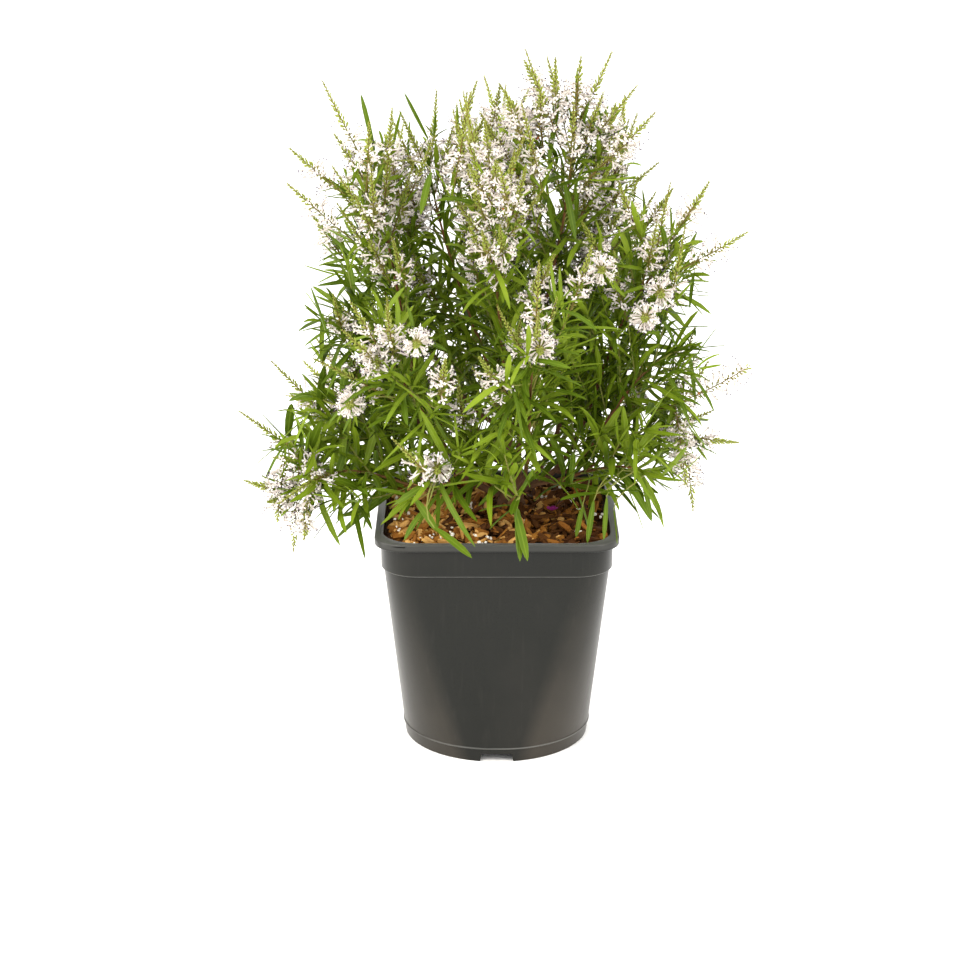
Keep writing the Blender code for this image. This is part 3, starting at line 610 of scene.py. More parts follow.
@dataclass(frozen=True)
class Leaf(Finish):
    """A satin leaf with a paler midrib and a fine pale edge that is a painted highlight, a little light
    coming through it.
    """

    pale: Colour = (0.25, 0.34, 0.045)  # midrib, and the painted highlight along the edge

    patch_share: ClassVar[float] = 0.75
    brightening: ClassVar[float] = 1.3
    rib: ClassVar[Span] = (0.05, 0.20)  # margins between which the midrib fades out
    edge: ClassVar[Span] = (0.78, 0.97)  # margins between which the painted edge highlight fades in
    rib_share: ClassVar[float] = 0.55
    edge_share: ClassVar[float] = 0.45

    def surface(self, graph: Graph, fine: Value) -> bpy.types.NodeSocket:
        """The blade's colour, and the midrib and the painted edge highlight, where the margin attribute is 0
        and 1.

        Args:
            graph: the material's nodes.
            fine: the fine grain.

        Returns:
            The colour.
        """
        margin = graph.attribute("margin")
        rib = 1 - graph.steep(margin, *self.rib)
        # painted highlight along each edge of the blade
        edge = graph.steep(margin, *self.edge)
        pale = rib * self.rib_share + edge * self.edge_share
        return graph.blend(pale, super().surface(graph, fine), self.pale)


@dataclass(frozen=True)
class PotPlastic:
    """Satin moulded plastic, dark warm grey, with faint rubbed patches and fine upright scuffs."""

    name: str = "pot_plastic"
    colour: Colour = (0.0078, 0.0082, 0.0068)
    rubbed: Colour = (0.022, 0.020, 0.017)
    dusty: Colour = (0.048, 0.040, 0.031)  # brown dusting, partly a painted reflection; it widens in a wedge towards the foot on the left and the right
    bright: Colour = (0.105, 0.105, 0.098)  # painted highlight on the lip and along the two raised lines
    lip: Span = (193.6 * MM, 200 * MM)  # heights of its underside, with painted shade below, and of its top; painted highlight between
    lines: Span = (12.6 * MM, 170.9 * MM)  # heights of the painted highlight line round the foot and of that at the band's foot
    clouds: float = 9.0  # rubbed patches to a metre
    scuffs: float = 260.0  # to a metre
    grains: float = 2400.0  # to a metre
    scuff_stretch: Place = (1.0, 1.0, 0.06)
    wedge_shift: float = 3 * MM  # how far left of the axis the middle of the wedges is
    wedge_slope: float = 0.28  # how much farther out a wedge starts for each metre of height
    wedge: Span = (18 * MM, 32 * MM)  # where it starts and is full, at the floor
    dust_fade: Span = (10 * MM, 190 * MM)  # heights between which it fades out
    relief: float = 0.05 * MM
    sheen: float = 0.18
    rough: float = 0.26

    def material(self) -> bpy.types.Material:
        """Builds the material: rubbed plastic, dusting and a painted reflection, painted highlights, painted
        shade under the lip.

        Returns:
            The material.
        """
        graph = Graph(self.name)
        clouds = graph.steep(graph.noise(self.clouds, detail=4.0), 0.45, 0.75)
        scuffs = graph.steep(graph.noise(self.scuffs, self.scuff_stretch, 2.0), 0.60, 0.78)
        mould = graph.noise(self.grains, detail=2.0)
        x, _, z = graph.axes()
        # brown dusting and a painted reflection, in a wedge on the left and the right that widens towards the
        # foot
        wedge = graph.steep(abs(x + self.wedge_shift) - z * self.wedge_slope, *self.wedge)
        dust_and_reflection_share = wedge * (1 - graph.steep(z, *self.dust_fade)) * (clouds * 0.3 + 0.4)
        pot_colour = graph.blend(clouds * 0.45 + scuffs * 0.25, self.colour, self.rubbed)
        pot_colour = graph.blend(dust_and_reflection_share, pot_colour, self.dusty)
        under, top = self.lip
        # painted highlight on the lip: faint up its outer face, strong on its top
        lip = graph.steep(z, under + 0.4 * MM, under + 2.4 * MM) * 0.22
        lip = lip + graph.steep(z, top - 0.9 * MM, top) * 0.5
        # painted highlight along the raised line round the foot and at the band's foot
        foot, band = (1 - graph.steep(abs(z - line), 0.25 * MM, 0.75 * MM) for line in self.lines)
        pot_colour = graph.blend(lip + (foot + band) * (clouds * 0.5 + 0.5), pot_colour, self.bright)
        # painted shade: a dark line just under the lip
        under_lip_shade = 1 - graph.steep(abs(z - under + 0.6 * MM), 0.5 * MM, 1.3 * MM)
        inputs = {
            "Base Color": graph.blend(under_lip_shade, pot_colour, (0.0, 0.0, 0.0)),
            "Roughness": clouds * 0.06 + scuffs * 0.10 + mould * 0.04 + self.rough,
            "Normal": graph.bump(mould, self.relief, 0.35),
            "Specular IOR Level": self.sheen,
        }
        return graph.finish(graph.node("ShaderNodeBsdfPrincipled", {}, inputs))


class Finishes(Enum):
    """Every natural finish of the shrub and its mulch."""

    BARK = Finish(
        "bark", (0.15, 0.075, 0.035), (0.07, 0.035, 0.018), 160, (0.7, 0.95), 0, 0.5 * MM, 700
    )
    RED_STEM = Finish(
        "red_stem", (0.17, 0.062, 0.026), (0.12, 0.075, 0.022), 60, (0.45, 0.65), 0, 0.1 * MM, 900
    )
    SPIKE_STALK = Finish("spike_stalk", (0.13, 0.12, 0.025), (0.14, 0.08, 0.022), 40, (0.5, 0.7))
    GREEN_STEM = Finish("green_stem", (0.19, 0.24, 0.045), (0.17, 0.15, 0.035), 40, (0.4, 0.6))
    LEAF_DARK = Leaf(
        "leaf_dark", (0.056, 0.104, 0.003), (0.094, 0.150, 0.005), 45, (0.36, 0.55), 0.18, sheen=0.14,
        pale=(0.160, 0.230, 0.022),
    )
    LEAF_MID = Leaf(
        "leaf_mid", (0.136, 0.212, 0.005), (0.188, 0.262, 0.013), 45, (0.36, 0.55), 0.30, sheen=0.16
    )
    LEAF_YOUNG = Leaf(
        "leaf_young", (0.190, 0.282, 0.010), (0.264, 0.346, 0.026), 45, (0.38, 0.55), 0.34, sheen=0.16
    )
    BUD = Finish("bud", (0.190, 0.240, 0.024), (0.390, 0.420, 0.095), 300, (0.45, 0.65), 0.15)
    CALYX = Finish("calyx", (0.165, 0.205, 0.034), (0.230, 0.175, 0.050), 70, (0.5, 0.7), 0.1)
    PETAL = Finish("petal", (0.740, 0.690, 0.645), (0.850, 0.820, 0.755), 160, (0.5, 0.7), 0.22)
    # painted shade among the lobes: the tubes are a darker pink-grey copy of the petals' white
    TUBE = Finish("flower_tube", (0.640, 0.555, 0.520), (0.780, 0.730, 0.660), 160, (0.5, 0.7), 0.18)
    FILAMENT = Finish("filament", (0.480, 0.370, 0.460), (0.560, 0.480, 0.520), 80, (0.5, 0.7), 0.1)
    ANTHER = Finish("anther", (0.030, 0.008, 0.045), (0.018, 0.006, 0.020), 80, (0.4, 0.6))
    WITHERED = Finish("withered", (0.420, 0.170, 0.040), (0.300, 0.110, 0.050), 80, (0.6, 0.8), 0.15)
    FALLEN = Finish("fallen_petal", (0.420, 0.030, 0.300), (0.250, 0.020, 0.120), 90, (0.5, 0.7), 0.2)
    MULCH_BED = Finish(
        "mulch_bed", (0.050, 0.020, 0.008), (0.090, 0.038, 0.014), 140, (0.8, 1.0), 0, 1.2 * MM, 420
    )
    CHIP_TAN = Finish(
        "chip_tan", (0.68, 0.40, 0.13), (0.44, 0.21, 0.05), 90, (0.65, 0.9), 0, 0.4 * MM, 500, (1, 3, 3)
    )
    CHIP_BROWN = Finish(
        "chip_brown", (0.33, 0.14, 0.022), (0.19, 0.065, 0.009), 90, (0.65, 0.9), 0, 0.4 * MM, 500, (3, 1, 3)
    )
    CHIP_DARK = Finish(
        "chip_dark", (0.11, 0.04, 0.008), (0.055, 0.018, 0.004), 90, (0.7, 0.95), 0, 0.4 * MM, 500, (1, 3, 3)
    )
    CRUMB = Finish(
        "mineral_crumb", (0.900, 0.870, 0.800), (0.800, 0.760, 0.680), 200, (0.8, 1.0), 0, 0.2 * MM, 1200
    )


# Pieces


class Slot(Enum):
    """The record's material slots."""

    POT_PLASTIC = "pot_plastic"
    BARK_MULCH = "bark_mulch"
    BARK = "bark"
    YOUNG_BARK = "young_bark"
    FOLIAGE = "foliage"


def link(name: str, data: bpy.types.ID) -> bpy.types.Object:
    """Puts a mesh, a light or a camera into the scene.

    Args:
        name: the object's name.
        data: what it shows.

    Returns:
        The object.
    """
    made = bpy.data.objects.new(name, data)
    bpy.context.scene.collection.objects.link(made)
    return made


def put_piece(
    name: str, mesh: bpy.types.Mesh, material: bpy.types.Material, stands_for: Iterable[str] = ()
) -> None:
    """Puts a finished mesh into the scene as a piece of the plant.

    Args:
        name: the piece's name.
        mesh: its mesh, in place.
        material: its material.
        stands_for: the CAD nodes that it replaces.
    """
    piece = link(name, mesh)
    mesh.materials.append(material)
    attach(piece, "root")
    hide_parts(*stands_for)
    LOG.info("%s: %d triangles", name, len(mesh.polygons))


def put_skin(
    name: str, skin: Skin, finish: Finishes, stands_for: Iterable[str] = (), crease: float = 60.0
) -> None:
    """Puts gathered bodies into the scene as a piece of the plant."""
    put_piece(name, skin.mesh(name, crease), finish.value.material(), stands_for)


# Pot


@dataclass
class Pot:
    """The nursery pot: a rim with round corners that runs down into a round foot, as one closed surface."""

    height: float = 200 * MM
    rim_half: float = 100 * MM
    rim_corner: float = 25 * MM
    lip_depth: float = 6.4 * MM
    lip_round: float = 1.2 * MM
    band_half: float = 95 * MM
    band_corner: float = 31 * MM
    band_depth: float = 23.4 * MM
    band_flare: float = 0.3 * MM  # how much wider the band is at its top
    band_round: float = 1.2 * MM
    wall_half: float = 93 * MM  # half width under the band
    foot_radius: float = 78 * MM
    wall: float = 2 * MM
    inner_step: float = 3 * MM  # height over the band's foot where the inside stands upright
    foot_ring: float = 9 * MM  # height of the ring that it stands on
    ring_width: float = 2.5 * MM
    edge: float = 0.5 * MM  # rounding of the small edges
    ridge: float = 12.5 * MM  # height of the raised line round the foot
    ridge_out: float = 0.7 * MM
    ridge_crest: float = 0.4 * MM
    ridge_base: float = 1.0 * MM
    wall_rows: int = 12
    corner_steps: int = 24
    fillet_steps: int = 4
    notch_widths: Span = (28.8 * MM, 24.8 * MM)  # at its foot and its top
    notch_height: float = 7.5 * MM
    notch_depth: float = 16 * MM
    notch_in: float = 4 * MM  # how far within the foot's radius its middle lies
    drain_radius: float = 5 * MM
    drain_circle: float = 48 * MM
    drain_sides: int = 16
    nick: Place = (12 * MM, 4 * MM, 0.9 * MM)  # width, depth and height of the split in the front lip
    nick_at: float = -80 * MM  # along x
    nick_drop: float = 1.3 * MM  # how far below the lip's top it lies
    overcut: float = 2 * MM  # how far a cutter reaches past a surface
    crease: float = 35.0  # degrees

    @property
    def under_lip(self) -> float:
        """Height of the lip's underside."""
        return self.height - self.lip_depth

    @property
    def band_foot(self) -> float:
        """Height of the step under the band."""
        return self.height - self.lip_depth - self.band_depth

    @property
    def floor(self) -> float:
        """Height of the floor's upper side."""
        return self.foot_ring + self.wall

    def rings(self, profile: Array) -> Array:
        """Rounded squares for rows of height, half width and corner radius.

        In each quarter the point is (half - corner) along x and y, plus the corner radius turned through the
        quarter.

        Args:
            profile: the rows, m by 3.

        Returns:
            Their points, m by corners by 3.
        """
        steps = np.arange(4 * self.corner_steps)
        angle = (steps + 0.5) / self.corner_steps * math.pi / 2
        sign_x, sign_y = np.sign(np.cos(angle)), np.sign(np.sin(angle))
        z, half, corner = (profile[:, k, None] for k in range(3))
        x = sign_x * (half - corner) + corner * np.cos(angle)
        y = sign_y * (half - corner) + corner * np.sin(angle)
        return np.stack([x, y, np.broadcast_to(z, x.shape)], axis=-1)

    def wall_at(self, z: Array | float, inset: float) -> Array:
        """Rows of the tapering wall: half width and corner both run straight from foot to band.

        Args:
            z: the rows' heights.
            inset: how far within the outside they lie.

        Returns:
            Rows of height, half width and corner radius.
        """
        z = np.atleast_1d(np.asarray(z, dtype=float))
        share = z / self.band_foot
        half = self.foot_radius + (self.wall_half - self.foot_radius) * share
        corner = self.foot_radius + (self.band_corner - self.foot_radius) * share
        return np.stack([z, half - inset, corner - inset], axis=1)

    def fillet(self, start: Sequence[float], end: Sequence[float], bulge_first: bool = True) -> Array:
        """Rows on a quarter of an ellipse between two rows, both ends included.

        Args:
            start: the first row.
            end: the last row.
            bulge_first: True where the profile leaves start sideways and reaches end upright or downright.

        Returns:
            The rows: height and width follow a sine and one minus a cosine.
        """
        turn = np.linspace(0, math.pi / 2, self.fillet_steps + 1)[:, None]
        fast, slow = np.sin(turn), 1 - np.cos(turn)
        weights = np.concatenate([slow, fast, fast] if bulge_first else [fast, slow, slow], axis=1)
        return np.array(start) + (np.array(end) - np.array(start)) * weights

    def profile(self) -> Array:
        """Rows from the underside's foot ring, up the outside, over the lip and down the inside to the floor.

        Returns:
            Rows of height, half width and corner radius.
        """
        edge, rounded = self.edge, self.lip_round
        foot_inner = self.foot_radius - self.ring_width
        top, under_lip, band_foot = self.height, self.under_lip, self.band_foot
        band_half, band_corner = self.band_half, self.band_corner
        inner = (band_half - self.wall, band_corner - self.wall)
        inner_edge = (inner[0] + rounded, inner[1] + rounded)
        rim = (self.rim_half, self.rim_corner)
        rim_edge = (rim[0] - rounded, rim[1] - rounded)
        raised = self.wall_at(self.ridge, -self.ridge_out)[0, 1:]
        step = self.wall_at(band_foot, 0)[0]
        wall_ends = (self.ridge + self.ridge_base, band_foot - edge)
        rows = [
            [(self.foot_ring, foot_inner, foot_inner), (edge, foot_inner, foot_inner)],
            [(0, foot_inner + edge, foot_inner + edge)],
            self.wall_at(0, edge),
            self.wall_at(edge, 0),
            self.wall_at(self.ridge - self.ridge_base, 0),
            [(self.ridge - self.ridge_crest, *raised), (self.ridge + self.ridge_crest, *raised)],
            self.wall_at(np.linspace(*wall_ends, self.wall_rows), 0),
            self.fillet(step, (band_foot + self.band_round, band_half, band_corner)),
            [(under_lip - edge, band_half + self.band_flare, band_corner)],
            [(under_lip, band_half + self.band_flare + edge, band_corner)],
            self.fillet((under_lip, *rim_edge), (under_lip + rounded, *rim)),
            self.fillet((top - rounded, *rim), (top, *rim_edge), bulge_first=False),
            self.fillet((top, *inner_edge), (top - rounded, *inner)),
            [(band_foot + self.inner_step, *inner)],
            self.wall_at(band_foot, self.wall),
            self.wall_at(self.floor, self.wall),
        ]
        return np.concatenate([np.asarray(row, dtype=float) for row in rows])

    @staticmethod
    def cut_block(
        skin: Skin, middle: Array, outward: Array, widths: Span, depth: float, heights: Span
    ) -> None:
        """A block that widens evenly from one height to the other: a rectangle at each.

        Args:
            skin: what it is added to.
            middle: its middle on the level.
            outward: the way that its depth runs.
            widths: its width at each height.
            depth: its depth.
            heights: its lower and upper height.
        """
        side = np.array((-outward[1], outward[0], 0.0))
        square = np.array(((1.0, 1.0), (-1.0, 1.0), (-1.0, -1.0), (1.0, -1.0))) / 2
        plan = -outward * (square[:, 1:] * depth)
        ends = [middle + UP * z + side * (square[:, :1] * width) + plan for width, z in zip(widths, heights)]
        skin.add(np.array([ends]), ends[0].mean(0)[None], ends[1].mean(0)[None])

    def cutter(self) -> bpy.types.Object:
        """The cutter for the nick in the lip, the notches in the foot ring and the drain holes in the floor.

        Returns:
            One object that holds all their closed bodies.
        """
        skin = Skin()
        nick_width, nick_depth, nick_height = self.nick
        spot = np.array((self.nick_at, -self.rim_half, 0.0))
        drop = self.height - self.nick_drop
        nick_span = (drop - nick_height, drop)
        self.cut_block(skin, spot, level(-math.pi / 2), (nick_width, nick_width), nick_depth, nick_span)
        notch_span = (-self.overcut, self.notch_height)
        drill = level(np.arange(self.drain_sides) * FULL_TURN / self.drain_sides) * self.drain_radius
        for quarter in range(4):
            turn = quarter * math.pi / 2
            outward = level(turn - math.pi / 2)
            middle = outward * (self.foot_radius - self.notch_in)
            self.cut_block(skin, middle, outward, self.notch_widths, self.notch_depth, notch_span)
            circle = level(turn + math.pi / 4) * self.drain_circle + drill
            ends = [circle + UP * (self.foot_ring + z) for z in (-self.overcut, self.wall + self.overcut)]
            skin.add(np.array([ends]), ends[0].mean(0)[None], ends[1].mean(0)[None])
        return link("pot_cutter", skin.mesh("pot_cutter", self.crease))

    def build(self) -> None:
        """Makes the pot: its closed surface, less the cutter's bodies."""
        skin = Skin()
        skin.add_plug(self.rings(self.profile()), self.foot_ring, self.floor)
        solid, cutter = link("pot_solid", skin.mesh("pot_solid", self.crease)), self.cutter()
        cut = solid.modifiers.new("cut", "BOOLEAN")
        cut.operation = "DIFFERENCE"
        cut.object = cutter
        evaluated = solid.evaluated_get(bpy.context.evaluated_depsgraph_get())
        mesh = bpy.data.meshes.new_from_object(evaluated)
        for spent in (solid, cutter):
            bpy.data.objects.remove(spent)
        mesh.set_sharp_from_angle(angle=math.radians(self.crease))
        mesh.materials.clear()
        put_piece("nursery_pot", mesh, PotPlastic().material(), ["pot"])


# Mulch


@dataclass
class Mulch:
    """Dark mix with bark chips, mineral crumbs and a fallen flower on it."""

    pot: Pot
    top: float = 192.5 * MM
    gap: float = 0.3 * MM  # room between the mix and the pot
    bed_rings: int = 34
    bed_least: float = 0.04  # width of the last ring, as a share
    bed_pitch: float = 26 * MM  # length of a ripple
    bed_relief: float = 1.8 * MM
    bed_sink: float = 1.2 * MM  # how far the ripples lie lower
    chips: int = 1250
    chip_length: Span = (7 * MM, 21 * MM)
    chip_width: Span = (1.2 * MM, 3.4 * MM)
    chip_depth: Span = (0.7 * MM, 2.0 * MM)
    chip_bend: float = 0.06  # share of its length
    chip_lift: Span = (-1.5 * MM, 5.5 * MM)  # lowest height over the top, and the range above it
    damp_slope: float = 0.36  # how much darker they are to the right
    tones: Span = (0.26, 0.68)  # score, chance plus the darkening to the right, from which they are brown, and dark
    crumbs: int = 120
    crumb_size: Span = (1.3 * MM, 3.5 * MM)
    crumb_lift: Span = (3.0 * MM, 6.5 * MM)
    crumb_heap: float = 2.6 * MM  # spread of one heap
    flower: Span = (46.5 * MM, -14 * MM)  # x and y of the fallen flower
    flower_lift: float = 8 * MM
    petals: int = 5
    petal_length: float = 6.5 * MM
    petal_droop: float = 1.0 * MM
    random: np.random.Generator = field(default_factory=lambda: np.random.default_rng(SEED + 500))

    def build(self) -> None:
        """Makes the bed, the chips in three tones, the crumbs and the fallen flower."""
        self.make_bed()
        self.scatter_chips()
        self.scatter_crumbs()
        self.drop_flower()

    def flower_spot(self) -> Array:
        """Middle of the fallen flower."""
        return np.array((*self.flower, self.top + self.flower_lift))

    def make_bed(self) -> None:
        """The plug of mix: rings spread from the middle over a rippled top, then run down to a flat base."""
        pot = self.pot
        half = pot.band_half - pot.wall - self.gap
        corner = pot.band_corner - pot.wall - self.gap
        scales = np.linspace(1.0, self.bed_least, self.bed_rings)
        rows = np.stack([np.full_like(scales, self.top), half * scales, corner * scales], axis=1)
        floor = pot.floor + self.gap
        inset = pot.wall + self.gap
        upright = [[pot.band_foot + pot.inner_step, half, corner]]
        below = np.concatenate([pot.wall_at(floor, inset), pot.wall_at(pot.band_foot, inset), upright])
        rings = pot.rings(np.concatenate([below, rows]))
        top_rings = rings[len(below) + 1 :]
        top_rings[..., 2] += ripple(top_rings, self.bed_pitch, 7, SEED) * self.bed_relief - self.bed_sink
        skin = Skin()
        skin.add_plug(rings, floor, self.top - self.bed_sink)
        put_skin("mulch_bed", skin, Finishes.MULCH_BED, ["bark_mulch"])

    def inside(self, points: Array, inset: Array | float) -> Array:
        """True for points whose place on the level lies within the pot's inner rounded square.

        Args:
            points: the points, with x, y and z on the last axis.
            inset: how far the square is moved in.

        Returns:
            A mask.
        """
        straight = self.pot.band_half - self.pot.band_corner
        corner = self.pot.band_corner - self.pot.wall - inset
        past = np.maximum(np.abs(points[..., :2]) - straight, 0)
        return np.hypot(past[..., 0], past[..., 1]) < corner

    def scatter_chips(self) -> None:
        """Long flat splinters of bark at all angles, some tipped up on others, darker to the right.

        Each is a level arc through its place, with a blunt end, a random width and a random lift.
        """
        random, n = self.random, self.chips
        reach = self.pot.band_half
        place = random.uniform(-reach, reach, (n, 3))
        length = random.uniform(*self.chip_length, n) * random.uniform(0.7, 1.1, n)
        width = random.uniform(*self.chip_width, n)
        depth = random.uniform(*self.chip_depth, n)
        tilt = random.normal(0, 0.34, n)
        way = unit(level(random.uniform(0, FULL_TURN, n)) + UP * np.tan(np.clip(tilt, -0.6, 0.6))[:, None])
        low, spread = self.chip_lift
        place[:, 2] = self.top + low + random.uniform(0, spread, n) + np.abs(way[:, 2]) * length * 0.3
        base = place - way * length[:, None] / 2
        sag = unit(random.normal(size=(n, 3))) * length[:, None] * self.chip_bend
        curves = Curves.arcs(base, way, length, sag)
        keep = self.inside(curves.at(0.0), width * 0.6 + MM) & self.inside(curves.at(1.0), width * 0.5 + MM)
        normal = around(way, math.pi / 2 + random.normal(0, 0.45, n))
        shares = (0.02, 0.3, 0.68, 0.97)
        ragged = random.uniform(0.72, 1.15, (n, len(shares), 4))
        across = width[:, None] * np.array((0.62, 1.0, 0.92, 0.45))
        up = depth[:, None] * np.array((0.8, 1.0, 1.0, 0.7))
        tone = np.digitize(random.uniform(size=n) + self.damp_slope * place[:, 0] / reach, self.tones)
        for number, finish in enumerate((Finishes.CHIP_TAN, Finishes.CHIP_BROWN, Finishes.CHIP_DARK)):
            pick = keep & (tone == number)
            skin = Skin()
            sizes = (across[pick], up[pick], normal[pick])
            skin.sweep(curves.pick(pick), shares, *sizes, Section.CHIP, ragged[pick])
            name = "bark_chips_" + finish.name.split("_")[1].lower()
            put_skin(name, skin, finish, crease=40)

    def scatter_crumbs(self) -> None:
        """Pale mineral crumbs in loose heaps: short ragged spindles lying on the chips."""
        random, n = self.random, self.crumbs
        heaps = random.uniform(-self.pot.band_half, self.pot.band_half, (n // 3, 3))
        place = heaps[np.arange(n) % len(heaps)] + random.normal(0, self.crumb_heap, (n, 3))
        place[:, 2] = self.top + random.uniform(*self.crumb_lift, n)
        keep = self.inside(place, 5 * MM)
        size = random.uniform(*self.crumb_size, n)
        way = unit(random.normal(size=(n, 3)))
        curves = Curves.arcs(place, way, size, way * 0)
        ragged = random.uniform(0.45, 1.3, (n, 3, 5))
        across = size[:, None] * np.array((0.34, 0.5, 0.36))
        skin = Skin()
        across, normal = across[keep], around(way, 0.0)[keep]
        skin.sweep(curves.pick(keep), (0.1, 0.5, 0.9), across, across, normal, Section.TWIG, ragged[keep])
        put_skin("mineral_crumbs", skin, Finishes.CRUMB, crease=40)

    def drop_flower(self) -> None:
        """One fallen magenta flower: its petals spread round a point on the mulch."""
        n = self.petals
        base = np.tile(self.flower_spot(), (n, 1))
        way = unit(level(np.arange(n) * FULL_TURN / n) + UP * 0.8)
        droop = -UP * self.petal_droop * np.ones((n, 1))
        curves = Curves.arcs(base, way, np.full(n, self.petal_length), droop)
        across, up = np.array((0.9, 2.4, 1.8)) * MM, np.full(3, 0.3 * MM)
        skin = Skin()
        skin.sweep(curves, (0.1, 0.6, 0.9), across, up, np.tile(UP, (n, 1)), Section.FLAT)
        put_skin("fallen_flower", skin, Finishes.FALLEN, crease=50)


# Limbs


@dataclass(frozen=True)
class Shoot:
    """One leafy shoot and the bough that carries it, as in the solids.

    Attributes:
        name: what the shoot is called.
        parent: the bough it leaves, or its seat on the trunk.
        fork: how far along that bough, or round the trunk in degrees.
        azimuth, reach, height: where its tip is about the pot's axis, in degrees and metres.
        lean: how far the tip leans from upright, in degrees.
        spikes: how many large flower spikes the solid has.
        spin: how far its leaf pairs are turned, in degrees.
    """

    name: str
    parent: str
    fork: float
    azimuth: float
    reach: float
    height: float
    lean: float
    spikes: int
    spin: float = 0.0


SHOOTS = (
    Shoot("upper_right", "trunk_top", 10, 0, 0.063, 0.518, 4, 4, 0),
    Shoot("upper_centre", "trunk_top", 250, 267, 0.072, 0.474, 8, 4, 20),
    Shoot("upper_centre_left", "trunk_top", 130, 143, 0.070, 0.482, 8, 3, 15),
    Shoot("upper_left", "trunk_low", 188, 192, 0.106, 0.490, 20, 4, 0),
    Shoot("right_shoulder", "trunk_high", 350, 356, 0.144, 0.418, 50, 3, 0),
    Shoot("upper_right_back", "trunk_low", 44, 37, 0.118, 0.460, 22, 3, 0),
    Shoot("back_top", "trunk_high", 98, 91, 0.106, 0.485, 14, 4, 40),
    Shoot("front_middle", "trunk_high", 285, 282, 0.140, 0.374, 46, 2, 80),
    Shoot("left_middle", "upper_left", 0.62, 170, 0.130, 0.365, 58, 1, 0),
    Shoot("left_low", "upper_left", 0.42, 184, 0.143, 0.296, 66, 2, 30),
    Shoot("left_hanging", "upper_left", 0.22, 196, 0.152, 0.240, 106, 3, 0),
    Shoot("front_left_middle", "upper_left", 0.52, 232, 0.134, 0.352, 38, 2, 0),
    Shoot("front_left_low", "upper_centre", 0.30, 246, 0.131, 0.262, 74, 1, 90),
    Shoot("front_right_low", "front_middle", 0.35, 279, 0.114, 0.246, 76, 0, 0),
    Shoot("right_skirt", "front_middle", 0.55, 332, 0.136, 0.252, 96, 0, 0),
    Shoot("right_middle", "right_shoulder", 0.60, 347, 0.152, 0.345, 66, 2, 60),
    Shoot("right_low", "right_shoulder", 0.38, 4, 0.150, 0.266, 90, 3, 0),
    Shoot("back_right_middle", "upper_right_back", 0.55, 44, 0.156, 0.365, 58, 2, 0),
    Shoot("back_right_low", "upper_right_back", 0.30, 52, 0.150, 0.268, 84, 1, 0),
    Shoot("back_middle", "back_top", 0.58, 88, 0.148, 0.380, 52, 2, 0),
    Shoot("back_low", "back_top", 0.32, 102, 0.144, 0.262, 86, 1, 0),
    Shoot("back_left_middle", "upper_centre_left", 0.55, 137, 0.154, 0.398, 48, 2, 0),
    Shoot("back_left_low", "upper_centre_left", 0.32, 146, 0.154, 0.268, 86, 2, 0),
)


@dataclass
class Trunk:
    """The short leaning root crown, which flares and spreads into ribs at the mulch."""

    foot: Place = (11 * MM, 17 * MM, 191 * MM)  # middle, at the mulch
    height: float = 32 * MM  # to where the boughs part
    foot_radius: float = 14.5 * MM
    neck_radius: float = 9.0 * MM
    top_radius: float = 8.2 * MM
    lean: float = 2.5 * MM  # how far the top is moved along x
    flare: float = 9 * MM  # height over which it fades
    ribs: int = 5
    rib_depth: float = 0.22
    top_ring: float = 4.4 * MM  # how far from the middle the upright boughs stand
    gap: float = 0.3 * MM  # room between two parts of the solids
    seats: dict[str, float] = field(
        default_factory=lambda: {"trunk_low": 0.48, "trunk_high": 0.62, "trunk_top": 1.0}
    )

    def axis(self, z: Array | float) -> Array:
        """Middle of the trunk at heights: a straight line that leans along x."""
        z = np.asarray(z, dtype=float)
        share = (z - self.foot[2]) / self.height
        return np.stack([self.foot[0] + self.lean * share, np.full_like(z, self.foot[1]), z], axis=-1)

    def radius(self, z: Array | float, angle: Array | float) -> Array:
        """Radius: a straight taper plus a flare that fades upwards, times ribs that fade upwards.

        Args:
            z: heights.
            angle: turns about the axis, in radians.

        Returns:
            The radii.
        """
        up = np.asarray(z) - self.foot[2]
        share = up / self.height
        plain = self.neck_radius + (self.top_radius - self.neck_radius) * share
        flared = plain + (self.foot_radius - self.neck_radius) * np.exp(-up / self.flare)
        fade = np.maximum(0.0, 1 - share) ** 3
        return flared * (1 + self.rib_depth * fade * np.cos(self.ribs * np.asarray(angle)))


@dataclass(frozen=True)
class LimbSize:
    """Sizes of one order of limbs."""

    base_radius: float
    tip_radius: float
    leafy_stem: float
    corners: int  # of the bough's middle line in the solids


class Order(Enum):
    """Whether a limb leaves the trunk or another bough."""

    MAIN = LimbSize(3.0 * MM, 1.7 * MM, 190 * MM, 6)
    SIDE = LimbSize(2.1 * MM, 1.4 * MM, 130 * MM, 4)


@dataclass
class Seat:
    """Where a limb starts on what carries it.

    Attributes:
        middle: the nearest point on the middle line of what carries it.
        away: the way off that line.
        launch: the limb's first direction.
        width: radius of what carries it.
    """

    middle: Array
    away: Array
    launch: Array
    width: float


